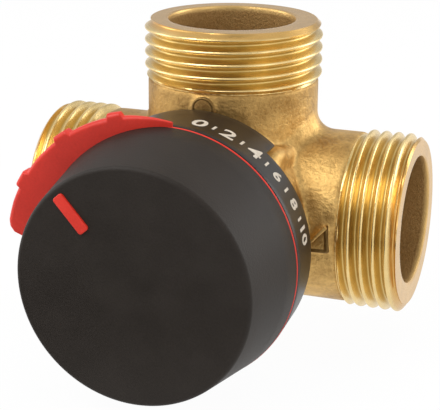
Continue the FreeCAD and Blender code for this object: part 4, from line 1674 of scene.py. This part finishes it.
@dataclass
class Studio:
    """White floor and surround, soft lamps, dark flags and the camera.

    Attributes:
        azimuth: direction of the camera, 0 in front of the knob.
        elevation: its angle above the floor.
        roll: how far it leans.
        distance: how far away it stands, in metres.
        lens: focal length in millimetres.
        sensor: width of the sensor in millimetres.
        aim: small offset of the camera across its view, in metres.
        shift: shift of the frame.
        surround: brightness of the surround for light that isn't mirrored.
        floor_size: length of the floor's sides, in metres.
        floor_shade: brightness of the floor where light falls on it.
        floor_glow: share of plain white in the floor as it is seen.
        floor_gap: how far the floor lies below the valve, in metres.
        lamps: what lights the valve.
        flags: what its brass mirrors.
    """

    azimuth: float = 19.3
    elevation: float = 18.1
    roll: float = 0.58
    distance: float = 0.2756
    lens: float = 116.31
    sensor: float = 36.0
    aim: Pair = (0.00002, -0.00007)
    shift: Pair = (-0.028, -0.0069)
    surround: float = 0.42
    floor_size: float = 6.0
    floor_shade: float = 0.92
    floor_glow: float = 0.97
    floor_gap: float = 0.0002
    lamps: tuple[Lamp, ...] = (
        Lamp("key_lamp", (-0.28, -0.30, 0.52), 0.34, 0.34, 2.1),
        Lamp("top_lamp", (0.10, 0.12, 0.55), 0.50, 0.40, 1.5, False),
        Lamp("side_lamp", (0.55, -0.32, 0.16), 0.22, 0.40, 0.34),
        Lamp("right_rim_lamp", (0.40, 0.30, 0.15), 0.25, 0.34, 0.85),
        Lamp("left_rim_lamp", (-0.52, -0.06, 0.15), 0.22, 0.34, 0.6),
    )
    flags: tuple[Flag, ...] = (
        Flag("flag_front", 41.0, 0.150, 0.10, 0.020, 0.34, 0.22),
        Flag("flag_mid", 15.0, 0.190, 0.11, 0.034, 0.15, 0.20),
        Flag("flag_knob", -12.0, 0.118, -0.022, 0.085, 0.110, 0.06, False),
        Flag("flag_back", 199.0, 0.300, 0.13, 0.60, 0.16, 0.62),
        Flag("flag_over", 199.0, 0.130, 0.44, 0.045, 0.30, 0.15, False),
        Flag("flag_sky", 140.0, 0.080, 0.62, 1.10, 0.90, 0.78, False),
    )

    def build(self) -> None:
        """Sets the stage."""
        scene = bpy.context.scene
        scene.view_settings.view_transform = "Standard"
        self._world(scene)
        self._floor()
        self._lamps()
        self._flags()
        self._camera(scene)

    def _world(self, scene: bpy.types.Scene) -> None:
        """Makes a white surround for what is seen, and softer light for the rest.

        Args:
            scene: the scene.
        """
        scene.world = bpy.data.worlds.new("studio_world")
        scene.world.use_nodes = True
        sky = Wiring(scene.world.node_tree, "ShaderNodeOutputWorld")
        soft, white = (sky.node("ShaderNodeBackground", inputs={
            "Color": rgb(1.0, 1.0, 1.0), "Strength": strength})
            for strength in (self.surround, 1.0))
        sky.show(sky.node("ShaderNodeMixShader", inputs={
            0: sky.seen_white(), 1: soft, 2: white}))

    def _floor(self) -> None:
        """Lays a pale floor under the object's lowest point."""
        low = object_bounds()[0].z
        Bench.clear()
        bpy.ops.mesh.primitive_plane_add(size=self.floor_size,
                                         location=(0.0, 0.0, low - self.floor_gap))
        floor = Bench.settle("studio_floor")
        s = Shader("studio_floor")
        s.dress(Base_Color=rgb(*[self.floor_shade] * 3), Roughness=0.9,
                Specular_IOR_Level=0.0)
        s.show(s.node("ShaderNodeMixShader", inputs={
            0: s.seen_white() * self.floor_glow, 1: s.surface,
            2: s.node("ShaderNodeEmission")}))
        floor.data.materials.append(s.material)
        floor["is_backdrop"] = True

    def _lamps(self) -> None:
        """Hangs the key above on the left, and fill and rims at the sides."""
        for lamp in self.lamps:
            Bench.clear()
            bpy.ops.object.light_add(type="AREA", location=lamp.place)
            light = bpy.context.object
            light.name = lamp.name
            light.data.shape = "RECTANGLE"
            light.data.size, light.data.size_y = lamp.width, lamp.height
            light.data.energy = lamp.power
            light.visible_glossy = lamp.mirrored
            light.rotation_euler = (-Vector(lamp.place)).to_track_quat("-Z", "Y").to_euler()

    def _flags(self) -> None:
        """Sets grey cards that only mirrors see, for bands in the brass."""
        for flag in self.flags:
            Bench.clear()
            bpy.ops.mesh.primitive_plane_add(size=1.0)
            card = bpy.context.object
            card.scale = (flag.width, flag.height, 1.0)
            turn = math.radians(flag.azimuth)
            card.rotation_euler = (math.pi / 2 if flag.upright else 0.0, 0.0, turn)
            card.location = (math.sin(turn) * flag.away, -math.cos(turn) * flag.away,
                             flag.level)
            Bench.settle(flag.name)
            s = Shader(flag.name)
            s.dress(Base_Color=rgb(0.0, 0.0, 0.0), Roughness=1.0, Specular_IOR_Level=0.0,
                    Emission_Color=rgb(1.0, 1.0, 1.0), Emission_Strength=flag.shade)
            card.data.materials.append(s.material)
            card.visible_camera = card.visible_diffuse = card.visible_shadow = False
            card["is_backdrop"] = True

    def _camera(self, scene: bpy.types.Scene) -> None:
        """Sets the camera at the valve's three-quarter view.

        Args:
            scene: the scene.
        """
        turn, lift = math.radians(self.azimuth), math.radians(self.elevation)
        back = Vector((math.sin(turn) * math.cos(lift), -math.cos(turn) * math.cos(lift),
                       math.sin(lift)))
        side = Vector((math.cos(turn), math.sin(turn), 0.0))
        above = side.cross(-back)
        cos, sin = math.cos(math.radians(self.roll)), math.sin(math.radians(self.roll))
        right, up = cos * side + sin * above, cos * above - sin * side
        data = bpy.data.cameras.new("camera")
        camera = bpy.data.objects.new("camera", data)
        scene.collection.objects.link(camera)
        place = back * self.distance + right * self.aim[0] + up * self.aim[1]
        turned = Matrix((right, up, back)).transposed().to_4x4()
        camera.matrix_world = Matrix.Translation(place) @ turned
        data.lens, data.sensor_width = self.lens, self.sensor
        data.shift_x, data.shift_y = self.shift
        data.clip_start, data.clip_end = 0.01, 20.0
        scene.camera = camera


def main() -> None:
    """Builds the valve from the casting outwards, then its studio."""
    logging.basicConfig(level=logging.INFO, format="%(name)s %(message)s")
    paint = Paintshop()
    Casting().build(paint)
    ThreadedPort(PortSide.RIGHT, -290.5, 24.94, (-0.8, 0.0)).build(paint)
    ThreadedPort(PortSide.LEFT, -49.0, 25.40).build(paint)
    ThreadedPort(PortSide.TOP, -60.0, 24.66, (-0.4, 0.0)).build(paint)
    ring = DialRing()
    ring.build(paint)
    DialPrint(ring).build(paint)
    Knob().build(paint)
    InnerParts().build(paint)
    Studio().build()


if __name__ == "__main__":
    main()
